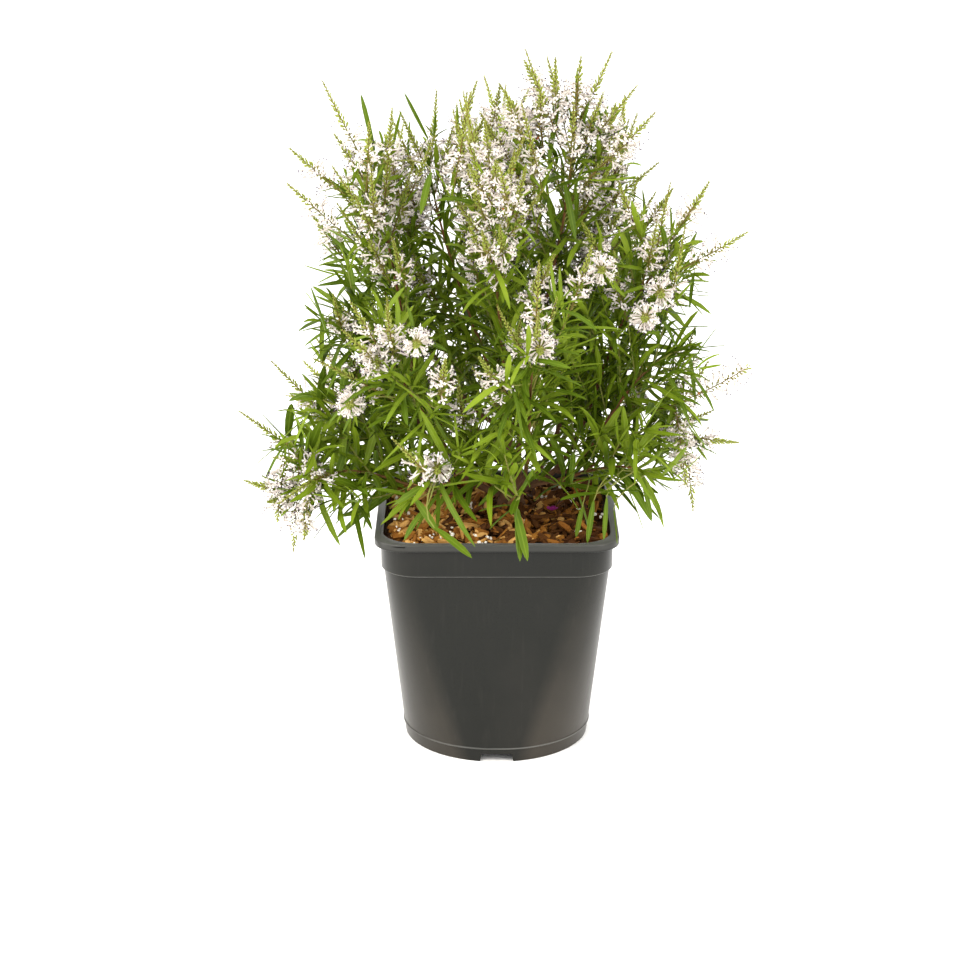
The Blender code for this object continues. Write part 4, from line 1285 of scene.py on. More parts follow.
@dataclass
class Limb:
    """The middle line of a whole shoot, split into a bare bough and the leafy stem beyond it."""

    shoot: Shoot
    trunk: Trunk
    parents: InitVar[dict[str, "Limb"]]
    seat: Seat = field(init=False)
    curve: Curves = field(init=False)
    split: float = field(init=False)  # share that is bare bough

    launch_share: ClassVar[float] = 0.30  # of the span, along the first direction
    landing_share: ClassVar[float] = 0.38  # of the span, along the last direction
    flank_rise: ClassVar[float] = 0.35  # slope off the trunk's flank
    fork_rise: ClassVar[float] = 0.40  # slope off another bough
    leafy_max: ClassVar[float] = 0.72  # greatest share that is leafy
    seat_passes: ClassVar[int] = 4
    tall_above: ClassVar[float] = 450 * MM
    low_below: ClassVar[float] = 300 * MM
    tall_leaf: ClassVar[float] = 0.72  # leaf length of tall shoots, against the usual
    low_width: ClassVar[float] = 1.2  # leaf width of low shoots, against the usual

    def __post_init__(self, parents: dict[str, "Limb"]) -> None:
        """Lays the limb from its seat to its tip.

        Args:
            parents: the limbs that are laid already, by name.
        """
        shoot, trunk, size = self.shoot, self.trunk, self.size
        tip = level(math.radians(shoot.azimuth)) * shoot.reach + UP * shoot.height
        outward = level(math.atan2(tip[1] - trunk.foot[1], tip[0] - trunk.foot[0]))
        lean = math.radians(shoot.lean)
        landing = outward * math.sin(lean) + UP * math.cos(lean)
        self.seat = seat = self.find_seat(tip, parents)
        first_run = seat.launch
        for _ in range(self.seat_passes):
            shoulder = size.base_radius * math.sqrt(max(0.0, 1 - float(first_run @ seat.away) ** 2))
            root = seat.middle + seat.away * (seat.width + trunk.gap + shoulder)
            span = np.linalg.norm(tip - root)
            launched = root + seat.launch * span * self.launch_share
            self.curve = Curves(np.array([[root, launched, tip - landing * span * self.landing_share, tip]]))
            self.split = 1 - min(size.leafy_stem / float(self.curve.length()[0]), self.leafy_max)
            run = self.bough_points()
            first_run = unit(run[1] - run[0])

    @property
    def size(self) -> LimbSize:
        """Sizes of the limb's order."""
        return (Order.MAIN if self.shoot.parent in self.trunk.seats else Order.SIDE).value

    @property
    def is_tall(self) -> bool:
        """True for the shoots that make the crown's top."""
        return self.shoot.height > self.tall_above

    @property
    def broad(self) -> float:
        """How wide its leaves are, as a share of the usual."""
        return self.low_width if self.shoot.height < self.low_below else 1.0

    @property
    def leafy(self) -> float:
        """How long the leaves of its twigs are, as a share of the usual."""
        return self.tall_leaf if self.is_tall else 1.0

    def find_seat(self, tip: Array, parents: dict[str, "Limb"]) -> Seat:
        """Finds the limb's seat: on the trunk's top, on its flank or on another bough.

        Args:
            tip: the limb's tip.
            parents: the limbs that are laid already, by name.

        Returns:
            The seat.
        """
        shoot, trunk = self.shoot, self.trunk
        side = level(math.radians(shoot.fork))
        if shoot.parent == "trunk_top":
            top = trunk.foot[2] + trunk.height
            return Seat(trunk.axis(top + trunk.gap) + side * trunk.top_ring, UP, UP, 0.0)
        if shoot.parent in trunk.seats:
            z = trunk.foot[2] + trunk.height * trunk.seats[shoot.parent]
            width = float(trunk.radius(z, math.radians(shoot.fork)))
            return Seat(trunk.axis(z), side, unit(side + UP * self.flank_rise), width)
        parent = parents[shoot.parent]
        points = parent.bough_points()
        run = shoot.fork * (len(points) - 1)
        low = int(run)
        middle = points[low] + (points[low + 1] - points[low]) * (run - low)
        along = unit(points[low + 1] - points[low])
        away = tip - middle
        away = unit(away - along * (away @ along))
        thick, thin = parent.size.base_radius, parent.size.tip_radius
        return Seat(middle, away, unit(away + along * self.fork_rise), thick + (thin - thick) * shoot.fork)

    def bough_points(self) -> Array:
        """Corner points of the bare bough's middle line in the solids."""
        return self.curve.at(np.linspace(0, self.split, self.size.corners)[None])[0]

    def stem(self) -> Curves:
        """The leafy stem's middle line."""
        return self.curve.part(self.split, 1.0)


@dataclass
class Woodwork:
    """The trunk and the bare boughs, with bark relief, as one mesh."""

    trunk: Trunk
    limbs: list[Limb]
    trunk_rows: int = 36
    trunk_sides: int = 60
    trunk_dome: float = 1.5 * MM  # how far the middle of its top stands up
    furrows: int = 9
    furrow: float = 0.06  # depth, as a share of the radius
    furrow_pitch: float = 14 * MM  # height over which they wander
    furrow_drift: float = 1.6
    plate_pitch: float = 5 * MM
    plate: float = 0.025  # depth, as a share of the radius
    row_step: float = 1.5 * MM
    least_rows: int = 12
    overlap: float = 0.004  # share of the limb by which a bough runs on into its stem
    collar: float = 0.35  # swelling at the fork, as a share of the radius
    collar_run: float = 3.5 * MM
    scar_step: float = 9 * MM
    scar: float = 0.13  # height, as a share of the radius
    scar_floor: float = 0.55  # cosine from which a scar rises
    rough: float = 0.05  # depth, as a share of the radius
    rough_pitch: float = 4 * MM
    joint: tuple[float, ...] = (1.45, 1.4, 1.3, 1.05)  # radii at the fork, against the bough's

    def build(self) -> None:
        """Makes the piece."""
        skin = Skin()
        self.add_trunk(skin)
        for limb in self.limbs:
            self.add_bough(skin, limb)
        nodes = ["trunk"] + [f"bough_{limb.shoot.name}" for limb in self.limbs]
        put_skin("trunk_and_boughs", skin, Finishes.BARK, nodes, crease=50)

    def add_trunk(self, skin: Skin) -> None:
        """The trunk: its radius rule times upright furrows, which drift with the height, and bark plates.

        Args:
            skin: what it is added to.
        """
        trunk = self.trunk
        z = trunk.foot[2] + trunk.gap + trunk.height * np.linspace(0, 1, self.trunk_rows) ** 1.3
        angle = np.arange(self.trunk_sides) * FULL_TURN / self.trunk_sides
        middle, outward = trunk.axis(z)[:, None], level(angle)[None]
        radius = trunk.radius(z[:, None], angle[None])
        ring = middle + outward * radius[..., None]
        drift = ripple(ring, self.furrow_pitch, 4, SEED + 1)
        furrows = np.abs(np.sin(angle[None] * self.furrows + drift * self.furrow_drift)) - 0.5
        plates = ripple(ring, self.plate_pitch, 5, SEED + 2)
        radius = radius * (1 + self.furrow * furrows + self.plate * plates)
        rings = middle + outward * radius[..., None]
        skin.add(rings[None], trunk.axis(z[:1]), trunk.axis(z[-1:]) + UP * self.trunk_dome)

    def add_bough(self, skin: Skin, limb: Limb) -> None:
        """One bough: a taper with a swollen collar at its fork and a raised ring at each pair of leaf scars.

        Args:
            skin: what it is added to.
            limb: the bough's limb.
        """
        size = limb.size
        run = float(limb.curve.length()[0]) * limb.split
        bough = limb.curve.part(0.0, limb.split + self.overlap)
        share = np.linspace(0, 1, max(self.least_rows, int(run / self.row_step)))
        radius = size.base_radius + (size.tip_radius - size.base_radius) * share
        collar = 1 + self.collar * np.exp(-share * run / self.collar_run)
        crests = np.clip(np.cos(share * run / self.scar_step * FULL_TURN), self.scar_floor, 1)
        scars = 1 + self.scar * crests - self.scar * self.scar_floor
        corners = len(Section.ROUND.value)
        spots = bough.at(share[None])[0][:, None] + level(np.arange(corners) * FULL_TURN / corners)
        relief = 1 + self.rough * ripple(spots, self.rough_pitch, 4, SEED)
        width = radius * collar * scars
        normal = around(bough.way(0.0), 0.0)
        skin.sweep(bough, share, width, width, normal, Section.ROUND, relief[None])
        middle = limb.seat.middle[None]
        off = limb.curve.at(0.0) - middle
        joint = Curves.arcs(middle, unit(off), np.linalg.norm(off, axis=1) + MM, off * 0)
        swell = size.base_radius * np.array(self.joint)
        skin.sweep(joint, (0.0, 0.35, 0.7, 1.0), swell, swell, normal, Section.ROUND)


# Foliage and flowers


class Tone(Enum):
    """Which green a spray of leaves has."""

    DARK = 0
    MID = 1
    YOUNG = 2


@dataclass(frozen=True)
class Spike:
    """A flower spike that stands out in the outline or faces the front, in millimetres.

    Attributes:
        foot, tip: where its stalk starts and ends.
        bow: how far it curls up on the way, as a share of its length.
        opened: share of it, from the foot, whose buds have opened.
        blooming: share of it over which the open flowers still stand.
    """

    foot: tuple[float, float, float]
    tip: tuple[float, float, float]
    bow: float
    opened: float
    blooming: float = 0.40


@dataclass(frozen=True)
class Blade:
    """A leaf that stands out in the outline, in millimetres.

    Attributes:
        foot, tip: where it starts and ends.
        arch: how far it bows up on the way, as a share of its length.
        width: its width.
        roll: how far its face is turned from the sky about its length, in radians.
    """

    foot: tuple[float, float, float]
    tip: tuple[float, float, float]
    arch: float
    width: float
    roll: float = 0.0


SPIKES = (
    Spike((-100, -22, 485), (-138, -30, 564), 0.06, 0.55),
    Spike((-116, -30, 469), (-164, -40, 512), 0.05, 0.62),
    Spike((-113, -30, 433), (-166, -50, 486), 0.04, 0.66),
    Spike((-89, -25, 484), (-83, -35, 543), 0.04, 0.52),
    Spike((-36, -60, 475), (-21, -75, 563), 0.06, 0.5),
    Spike((-4, -60, 483), (-10, -85, 542), 0.03, 0.62),
    Spike((56, -10, 495), (22, -30, 589), 0.03, 0.55),
    Spike((61, 0, 515), (92, 12, 580), 0.05, 0.5),
    Spike((61, 0, 495), (111, -12, 557), 0.08, 0.62),
    Spike((72, -10, 481), (125, -30, 539), 0.1, 0.7),
    Spike((80, 30, 446), (132, 20, 489), 0.08, 0.45),
    Spike((120, 50, 421), (146, 50, 461), 0.04, 0.55),
    Spike((142, 0, 429), (171, -10, 479), 0.05, 0.6),
    Spike((146, -10, 405), (202, -20, 440), 0.06, 0.62),
    Spike((130, -34, 294), (205, -45, 335), 0.16, 0.92),
    Spike((161, 10, 259), (203, 10, 253), 0.1, 0.4),
    Spike((155, 0, 276), (165, -10, 199), -0.08, 0.72, 0.60),
    Spike((146, -20, 300), (156, -40, 232), -0.10, 0.80, 0.70),
    Spike((-135, 20, 265), (-188, 20, 321), 0.02, 0.52),
    Spike((-82, -60, 309), (-147, -70, 348), -0.06, 0.5),
    Spike((-164, -10, 248), (-212, -20, 289), -0.06, 0.35),
    Spike((-162, -40, 226), (-207, -50, 239), 0.16, 0.55),
    Spike((-160, -40, 224), (-188, -55, 222), 0.05, 0.6),
    Spike((-161, -42, 264), (-168, -52, 178), -0.1, 0.80, 0.60),
    Spike((-150, -50, 262), (-158, -65, 192), -0.12, 0.85, 0.70),
    Spike((-172, -40, 268), (-181, -50, 204), -0.10, 0.85, 0.70),
    Spike((25, -30, 501), (6, -45, 559), 0.04, 0.72),
    Spike((36, -40, 479), (19, -60, 551), 0.03, 0.45),
    Spike((-45, -130, 327), (-40, -155, 372), 0.03, 0.6),
    Spike((-48, -85, 266), (-47, -135, 274), 0.0, 0.80, 0.55),
    Spike((33, -120, 375), (32, -170, 381), 0.0, 0.80, 0.55),
    Spike((82, -60, 425), (81, -110, 429), 0.0, 0.80, 0.55),
    Spike((121, -50, 381), (115, -100, 388), 0.0, 0.80, 0.55),
    Spike((129, -30, 398), (130, -80, 402), 0.0, 0.80, 0.55),
    Spike((-63, -110, 376), (-62, -160, 383), 0.0, 0.80, 0.55),
    Spike((-95, -80, 350), (-96, -130, 359), 0.0, 0.80, 0.55),
    Spike((-117, -60, 311), (-117, -110, 320), 0.0, 0.80, 0.55),
)

BLADES = (
    Blade((-98, -20, 505), (-108, -30, 554), 0.02, 4.4),
    Blade((-56, 20, 507), (-75, 10, 548), -0.03, 4.6),
    Blade((64, 0, 529), (64, 0, 569), 0.02, 3.2),
    Blade((-52, 40, 502), (-50, 30, 529), 0.0, 2.4),
    Blade((-50, 40, 507), (-40, 40, 513), 0.1, 1.8),
    Blade((-52, 40, 507), (-59, 40, 516), 0.1, 1.8),
    Blade((-87, -30, 468), (-124, -50, 475), 0.1, 4.4),
    Blade((-87, -20, 507), (-117, -50, 487), 0.45, 4.6),
    Blade((-52, -50, 495), (-60, -80, 467), 0.25, 6.0),
    Blade((85, 20, 453), (102, 30, 482), 0.0, 3.4),
    Blade((49, 0, 537), (41, -30, 497), 0.3, 4.6),
    Blade((70, 0, 531), (84, -20, 520), 0.12, 5.6),
    Blade((59, 0, 539), (76, -10, 548), 0.25, 2.6),
    Blade((146, 0, 426), (170, -10, 421), 0.15, 3.4),
    Blade((144, 0, 386), (176, 0, 384), 0.16, 4.0),
    Blade((161, -10, 405), (157, -20, 376), 0.35, 3.6),
    Blade((157, -30, 345), (187, -30, 348), 0.02, 4.2),
    Blade((159, -30, 361), (160, -50, 361), 0.4, 3.4),
    Blade((156, -30, 343), (162, -40, 301), 0.4, 3.6),
    Blade((138, -50, 341), (161, -60, 332), 0.12, 3.0),
    Blade((158, 0, 258), (184, -20, 251), 0.05, 3.6),
    Blade((117, -50, 248), (126, -75, 212), 0.16, 5.6),
    Blade((-136, -20, 346), (-151, -30, 398), 0.0, 3.4),
    Blade((-120, -20, 369), (-148, -40, 386), 0.2, 3.4),
    Blade((-124, -20, 352), (-153, -40, 365), 0.06, 3.2),
    Blade((-109, -40, 345), (-142, -60, 361), -0.1, 3.4),
    Blade((-148, -10, 286), (-141, -20, 329), 0.12, 7.0),
    Blade((-127, -40, 305), (-122, -50, 335), 0.05, 6.2),
    Blade((-174, -10, 261), (-169, -20, 296), 0.16, 7.4),
    Blade((-175, -20, 259), (-193, -30, 228), 0.42, 4.4),
    Blade((-174, -10, 261), (-194, -20, 287), -0.06, 3.6),
    Blade((-174, -20, 263), (-196, -30, 273), 0.05, 2.8),
    Blade((-158, -30, 249), (-142, -60, 293), 0.14, 7.6),
    Blade((-150, -30, 227), (-155, -40, 203), 0.12, 5.2),
    Blade((-124, -40, 226), (-131, -50, 204), 0.14, 4.8),
    Blade((-146, -40, 234), (-130, -60, 222), 0.1, 4.6),
    Blade((-116, -50, 220), (-101, -100, 213), 0.18, 6.4),
    Blade((-66, -110, 244), (-47, -125, 220), 0.1, 6.2, -0.7),
    Blade((-50, -125, 224), (-20, -138, 203), 0.08, 6.4, -1.0),
    Blade((-58, -110, 234), (-74, -125, 213), 0.22, 5.6),
    Blade((14, -120, 239), (24, -140, 201), 0.14, 7.0),
    Blade((14, -120, 239), (-6, -135, 226), 0.18, 6.0),
    Blade((16, -120, 239), (18, -138, 200), 0.16, 6.6),
    Blade((12, -120, 241), (-15, -130, 239), 0.2, 5.0),
    Blade((83, -90, 242), (114, -100, 246), 0.1, 5.4),
    Blade((80, -90, 241), (50, -110, 242), 0.14, 5.4),
    Blade((88, -92, 239), (86, -96, 203), 0.05, 4.6, 1.3),
    Blade((78, -92, 236), (73, -94, 200), 0.05, 4.8, 1.2),
    Blade((94, -92, 228), (97, -98, 200), 0.04, 4.2, 1.2),
    Blade((69, -80, 226), (64, -86, 202), 0.06, 4.2, 1.0),
)

# Height, and how far left and right the crown reaches there as seen from the front
OUTLINE = (
    (0.150, -0.175, 0.130),
    (0.170, -0.183, 0.138),
    (0.205, -0.203, 0.148),
    (0.249, -0.202, 0.186),
    (0.293, -0.183, 0.179),
    (0.336, -0.164, 0.186),
    (0.379, -0.160, 0.180),
    (0.421, -0.157, 0.184),
    (0.462, -0.153, 0.165),
    (0.503, -0.144, 0.138),
    (0.530, -0.110, 0.118),
    (0.548, -0.070, 0.100),
    (0.572, 0.015, 0.080),
    (0.590, 0.040, 0.060),
)


def column(rows: Sequence[Any], name: str, unit_size: float = 1.0) -> Array:
    """One trait of every row of a table, in a unit of so many metres."""
    return np.array([getattr(row, name) for row in rows]) * unit_size


@dataclass
class Nodes:
    """Places on stems at which leaves, twigs or flowers sit.

    Attributes:
        base: the places, with x, y and z on the last axis.
        along: the stems' directions there.
        turn: which way each node faces about its stem, in radians.
    """

    base: Array
    along: Array
    turn: Array

    @classmethod
    def on(cls, curves: Curves, share: Array | float, turn: Array) -> "Nodes":
        """Nodes at shares of curves, or for a column of shares of one curve as rows."""
        return cls(curves.at(share), curves.way(share), turn)

    @classmethod
    def along_one(cls, curve: Curves, share: Array, turn: Array) -> "Nodes":
        """Nodes at shares of a single curve, one to a row."""
        return cls(curve.at(share[None])[0], curve.way(share[None])[0], turn)

    def __len__(self) -> int:
        """How many nodes there are."""
        return len(self.base)

    def pick(self, mask: Array) -> "Nodes":
        """The nodes that a mask keeps."""
        return Nodes(self.base[mask], self.along[mask], self.turn[mask])

    def facing(self, turn: Array | float) -> "Nodes":
        """The same nodes, turned on by an angle."""
        return Nodes(self.base, self.along, self.turn + turn)

    def away(self) -> Array:
        """Unit vectors off the stems, on the sides that the nodes face."""
        return around(self.along, self.turn)


@dataclass
class Growth:
    """Curves of one kind that have grown, each with a column of traits."""

    handles: list[Array] = field(default_factory=list)
    traits: list[Array] = field(default_factory=list)  # one row to a trait

    def add(self, curves: Curves, *traits: Array | float) -> None:
        """Adds curves, with a number or an array of numbers for each trait."""
        rows = [np.broadcast_to(trait, len(curves)) for trait in traits]
        self.handles.append(curves.handles)
        self.traits.append(np.array(rows, dtype=float).reshape(len(traits), len(curves)))

    def gather(self) -> tuple[Curves, Array]:
        """All of the curves, and one row for each trait."""
        return Curves(np.concatenate(self.handles)), np.concatenate(self.traits, axis=1)


@dataclass
class Crown:
    """Grows every leafy stem by the rule of the solids, carried on to more nodes and finer twigs."""

    trunk: Trunk
    pot: Pot
    mulch: Mulch  # its fallen flower is never hidden from the front
    limbs: list[Limb]
    eye: Place  # where the front view is taken from
    node_step: float = 10 * MM
    twig_every: int = 2  # nodes to a pair of twigs
    twig_length: float = 50 * MM
    twig_angle: float = math.radians(46)
    twig_step: float = 10.5 * MM
    twig_rise: float = 0.14  # how far its end curls up, as a share of its length
    leaf_length: float = 55 * MM
    leaf_width: float = 4.7 * MM
    leaf_angle: float = math.radians(56)
    droop: float = 0.32  # how far a level leaf's tip sags, as a share of its length
    rise: float = 0.10  # how strongly leaves turn up towards the light
    lowest: float = 155 * MM  # height below which nothing hangs
    open_below: float = 226 * MM  # height below which the mulch shows from the front
    thinning: float = 0.55  # share of leaves left out there
    airy_above: float = 440 * MM  # height from which flowers outnumber leaves
    airiness: float = 0.42  # share of leaves left out there
    spike_room: float = 20 * MM  # about the tips of the table's spikes
    low_twigs: tuple[float, ...] = (0.72,)  # shares of the bare bough at which it has a leafy twig
    tip_pairs: tuple[Span, Span] = ((0.62, 0.66), (0.34, 0.42))  # angle and length, against the usual
    tip_step: float = 1.6 * MM
    stem_spikes: Span = (58 * MM, 80 * MM)
    twig_spikes: Span = (46 * MM, 66 * MM)
    carried_leafy: float = 0.8  # leaf length on twigs to the table's spikes, against the usual
    hanging_lean: float = 95.0  # degrees from which a shoot's spikes hang
    flower_view: float = 7 * MM  # how wide a view of the fallen flower stays open
    leaves: Growth = field(default_factory=Growth)
    twigs: Growth = field(default_factory=Growth)
    spikes: Growth = field(default_factory=Growth)
    random: np.random.Generator = field(init=False)

    def grow(self) -> None:
        """Grows every shoot, then the spikes and leaves that shape the outline."""
        for number, limb in enumerate(self.limbs):
            self.random = np.random.default_rng(SEED + number)
            self.grow_shoot(limb)
        self.random = np.random.default_rng(SEED + 100)
        self.place_spikes()
        self.random = np.random.default_rng(SEED + 101)
        self.place_blades()
        for growth, name in ((self.leaves, "leaves"), (self.twigs, "twigs"), (self.spikes, "flower spikes")):
            LOG.info("grown: %d %s", sum(map(len, growth.handles)), name)

    def grow_shoot(self, limb: Limb) -> None:
        """Leaf pairs, twigs and flower spikes of one shoot.

        Args:
            limb: the shoot's limb.
        """
        random, stem = self.random, limb.stem()
        spin = math.radians(limb.shoot.spin)
        count = round(float(stem.length()[0]) / self.node_step)
        number = np.arange(count)
        share = (number + 0.6) / (count + 0.3)
        turn = spin + math.pi / 4 + number * math.pi / 2 + random.uniform(-0.3, 0.3, count)
        nodes = Nodes.along_one(stem, share, turn)
        tone = np.where(random.uniform(size=count) < 0.55, Tone.DARK.value, Tone.MID.value)
        size = self.leaf_length * (1.12 - (0.55 if limb.is_tall else 0.3) * share)
        opening = self.leaf_angle * (1.1 - 0.35 * share)
        self.add_pairs(nodes, opening, size, self.leaf_width * limb.broad, tone)
        self.add_tip(Nodes.on(stem, 0.985, np.array([spin])))
        forks = (number % self.twig_every == 0) & (number > 0) & (number < count - 1)
        for side in (0, 1):
            self.add_twigs(limb, nodes.pick(forks).facing(side * math.pi), share[forks])
        self.add_stem_spikes(limb, stem, spin)
        low = np.array(self.low_twigs)
        bough = limb.curve.part(0.0, limb.split)
        turn = spin + np.arange(len(low)) * GOLDEN_TURN
        self.add_twigs(limb, Nodes.along_one(bough, low, turn), low * 0)

    def add_pairs(
        self, nodes: Nodes, opening: Array | float, size: Array | float, width: Array | float, tone: Array
    ) -> None:
        """Opposite leaves at nodes.

        Args:
            nodes: the nodes.
            opening: angle between leaf and stem.
            size: usual leaf length.
            width: usual leaf width.
            tone: each pair's tone.
        """
        n, random = len(nodes), self.random
        for side in (0, 1):
            tilt = (opening + random.uniform(-0.25, 0.25, n))[:, None]
            away = nodes.facing(side * math.pi).away()
            direction = unit(nodes.along * np.cos(tilt) + away * np.sin(tilt) + UP * self.rise)
            length = size * (1 + random.uniform(-0.28, 0.2, n))
            flat = np.hypot(direction[:, 0], direction[:, 1])
            sag = -UP * (self.droop * length * (0.2 + 0.8 * flat) * random.uniform(-0.6, 1.9, n))[:, None]
            sag = sag + around(direction, 0.0) * (length * random.normal(0, 0.19, n))[:, None]
            curves = Curves.arcs(nodes.base, direction, length, sag)
            roll = random.uniform(-0.8, 0.8, n)
            wide = width * random.uniform(0.75, 1.3, n) * (length / self.leaf_length) ** 0.5
            keep = self.is_clear(curves, 1 * MM) & self.is_within(curves)
            keep &= (nodes.base[:, 2] < self.airy_above) | (random.uniform(size=n) > self.airiness)
            self.leaves.add(curves.pick(keep), roll[keep], tone[keep], wide[keep])

    def add_tip(self, nodes: Nodes) -> None:
        """Two nested pairs of small leaves that end a stem or twig.

        Args:
            nodes: the ends, facing the way of the first pair.
        """
        young = self.random.choice((Tone.MID.value, Tone.YOUNG.value), len(nodes), p=(0.55, 0.45))
        for step, (opening, size) in enumerate(self.tip_pairs):
            seat = nodes.base + nodes.along * (step * self.tip_step)
            pairs = Nodes(seat, nodes.along, nodes.turn + step * math.pi / 2)
            self.add_pairs(pairs, opening, self.leaf_length * size, self.leaf_width, young)

    def add_twigs(self, limb: Limb, nodes: Nodes, share: Array) -> None:
        """Side twigs with their leaf pairs, tips and, high in the crown, flower spikes.

        Args:
            limb: the shoot's limb.
            nodes: where the twigs leave the stem.
            share: how far up the stem each is.
        """
        n, random = len(nodes), self.random
        away = nodes.facing(random.uniform(-0.3, 0.3, n)).away()
        angle = (self.twig_angle + random.uniform(-0.25, 0.15, n))[:, None]
        direction = unit(nodes.along * np.cos(angle) + away * np.sin(angle))
        length = self.twig_length * (1.25 - 0.55 * share) * random.uniform(0.65, 1.25, n)
        curves = Curves.arcs(nodes.base, direction, length, UP * (self.twig_rise * length)[:, None])
        keep = self.is_clear(curves, 2 * MM) & self.is_within(curves)
        curves, turn = curves.pick(keep), nodes.turn[keep]
        self.clothe(curves, turn, limb.broad, limb.leafy)
        self.add_twig_spikes(limb, curves, turn, share[keep])

    def clothe(self, curves: Curves, turn: Array, broad: float, leafy: float) -> None:
        """Puts leaf pairs on twigs, each pair square to the last, and a tip on each.

        Args:
            curves: the twigs.
            turn: which way the first pair of each faces.
            broad: how wide the leaves are, as a share of the usual.
            leafy: how long the leaves are, as a share of the usual.
        """
        n, length, random = len(curves), curves.length(), self.random
        self.twigs.add(curves)
        high = curves.at(1.0)[:, 2] > self.airy_above
        airy, dense = random.choice(3, n, p=(0.35, 0.45, 0.20)), random.choice(3, n, p=(0.40, 0.45, 0.15))
        tone = np.where(high, airy, dense)
        for pair in range(int(length.max(initial=0) / self.twig_step)):
            distance = (pair + 0.8) * self.twig_step
            grown = distance < length - 3 * MM
            spot = np.clip(distance / np.maximum(length, MM), 0, 1)[:, None]
            turned = turn + pair * math.pi / 2 + random.uniform(-0.35, 0.35, n)
            nodes = Nodes(curves.at(spot)[:, 0], curves.way(spot)[:, 0], turned).pick(grown)
            size = (self.leaf_length * leafy * (1.0 - 0.3 * spot[:, 0]))[grown]
            self.add_pairs(nodes, self.leaf_angle * 0.9, size, self.leaf_width * broad, tone[grown])
        self.add_tip(Nodes.on(curves, 0.97, turn))

    def add_stem_spikes(self, limb: Limb, stem: Curves, spin: float) -> None:
        """Flower spikes in pairs round the stem's tip, opening wider down the stem.

        Args:
            limb: the shoot's limb.
            stem: its leafy stem.
            spin: how far its leaf pairs are turned, in radians.
        """
        random, count = self.random, 2 * limb.shoot.spikes
        number = np.arange(count)
        pair = number // 2
        turn = spin + pair * math.pi / 2 + (number % 2) * math.pi + random.uniform(-0.3, 0.3, count)
        opening = (math.radians(22) + math.radians(7) * pair + random.uniform(-0.15, 0.15, count))[:, None]
        nodes = Nodes.along_one(stem, 1 - 0.09 * (pair + 0.35), turn)
        direction = unit(nodes.along * np.cos(opening) + nodes.away() * np.sin(opening) + UP * 0.2)
        self.add_spikes(limb, nodes.base, direction, random.uniform(*self.stem_spikes, count))

    def add_twig_spikes(self, limb: Limb, curves: Curves, turn: Array, share: Array) -> None:
        """Flower spikes at the ends of the upper twigs.

        Args:
            limb: the shoot's limb.
            curves: its twigs.
            turn: which way the first leaf pair of each faces.
            share: how far up the stem each is.
        """
        random = self.random
        plenty = 0.0 if not limb.shoot.spikes else 0.95 if limb.is_tall else 0.22
        least = 0.22 if limb.is_tall else 0.35
        ends = Nodes.on(curves, 0.9, turn)
        for side in (0, 1):
            flowers = (random.uniform(size=len(curves)) < plenty * (1 - 0.3 * side)) & (share > least)
            nodes = ends.pick(flowers)
            away = around(nodes.along, nodes.turn + side * math.pi + math.pi / 2)
            opening = random.uniform(0.1, 0.5, len(nodes))[:, None]
            direction = unit(nodes.along * np.cos(opening) + away * np.sin(opening) + UP * 0.35)
            self.add_spikes(limb, nodes.base, direction, random.uniform(*self.twig_spikes, len(nodes)))

    def add_spikes(self, limb: Limb, base: Array, direction: Array, length: Array) -> None:
        """Adds flower spikes that keep clear of the pot and the table's spikes, and within the outline.

        Args:
            limb: the shoot's limb.
            base: where they start.
            direction: their first directions.
            length: their lengths.
        """
        n, random = len(base), self.random
        hangs = limb.shoot.lean > self.hanging_lean
        curl = np.full(n, -0.30 if hangs else 0.10) + random.normal(0, 0.03, n)
        sag = UP * (curl * length)[:, None] + random.normal(0, 0.05, (n, 3)) * length[:, None]
        curves = Curves.arcs(base, direction, length, sag)
        drawn = column(SPIKES, "tip", MM)
        room = np.linalg.norm(curves.at(1.0)[:, None] - drawn[None], axis=2).min(axis=1)
        keep = self.is_clear(curves, 10 * MM) & self.is_within(curves) & (room > self.spike_room)
        opened, blooming = random.uniform(0.34, 0.72, n), random.uniform(0.22, 0.38, n)
        self.spikes.add(curves.pick(keep), opened[keep], blooming[keep])

    def place_spikes(self) -> None:
        """The spikes of the table, each on a leafy twig from the nearest stem."""
        foot = column(SPIKES, "foot", MM)
        curves = Curves.between(foot, column(SPIKES, "tip", MM), column(SPIKES, "bow"))
        self.spikes.add(curves, column(SPIKES, "opened"), column(SPIKES, "blooming"))
        twigs = self.twigs_to(foot, curves.way(0.0))
        self.clothe(twigs, self.random.uniform(0, FULL_TURN, len(foot)), 1.0, self.carried_leafy)

    def place_blades(self) -> None:
        """The leaves of the table, each on a bare twig from the nearest stem."""
        foot = column(BLADES, "foot", MM)
        curves = Curves.between(foot, column(BLADES, "tip", MM), -column(BLADES, "arch"))
        roll = self.random.uniform(-0.5, 0.5, len(foot)) + column(BLADES, "roll")
        self.leaves.add(curves, roll, Tone.DARK.value, column(BLADES, "width", MM))
        self.twigs.add(self.twigs_to(foot, curves.way(0.0)))

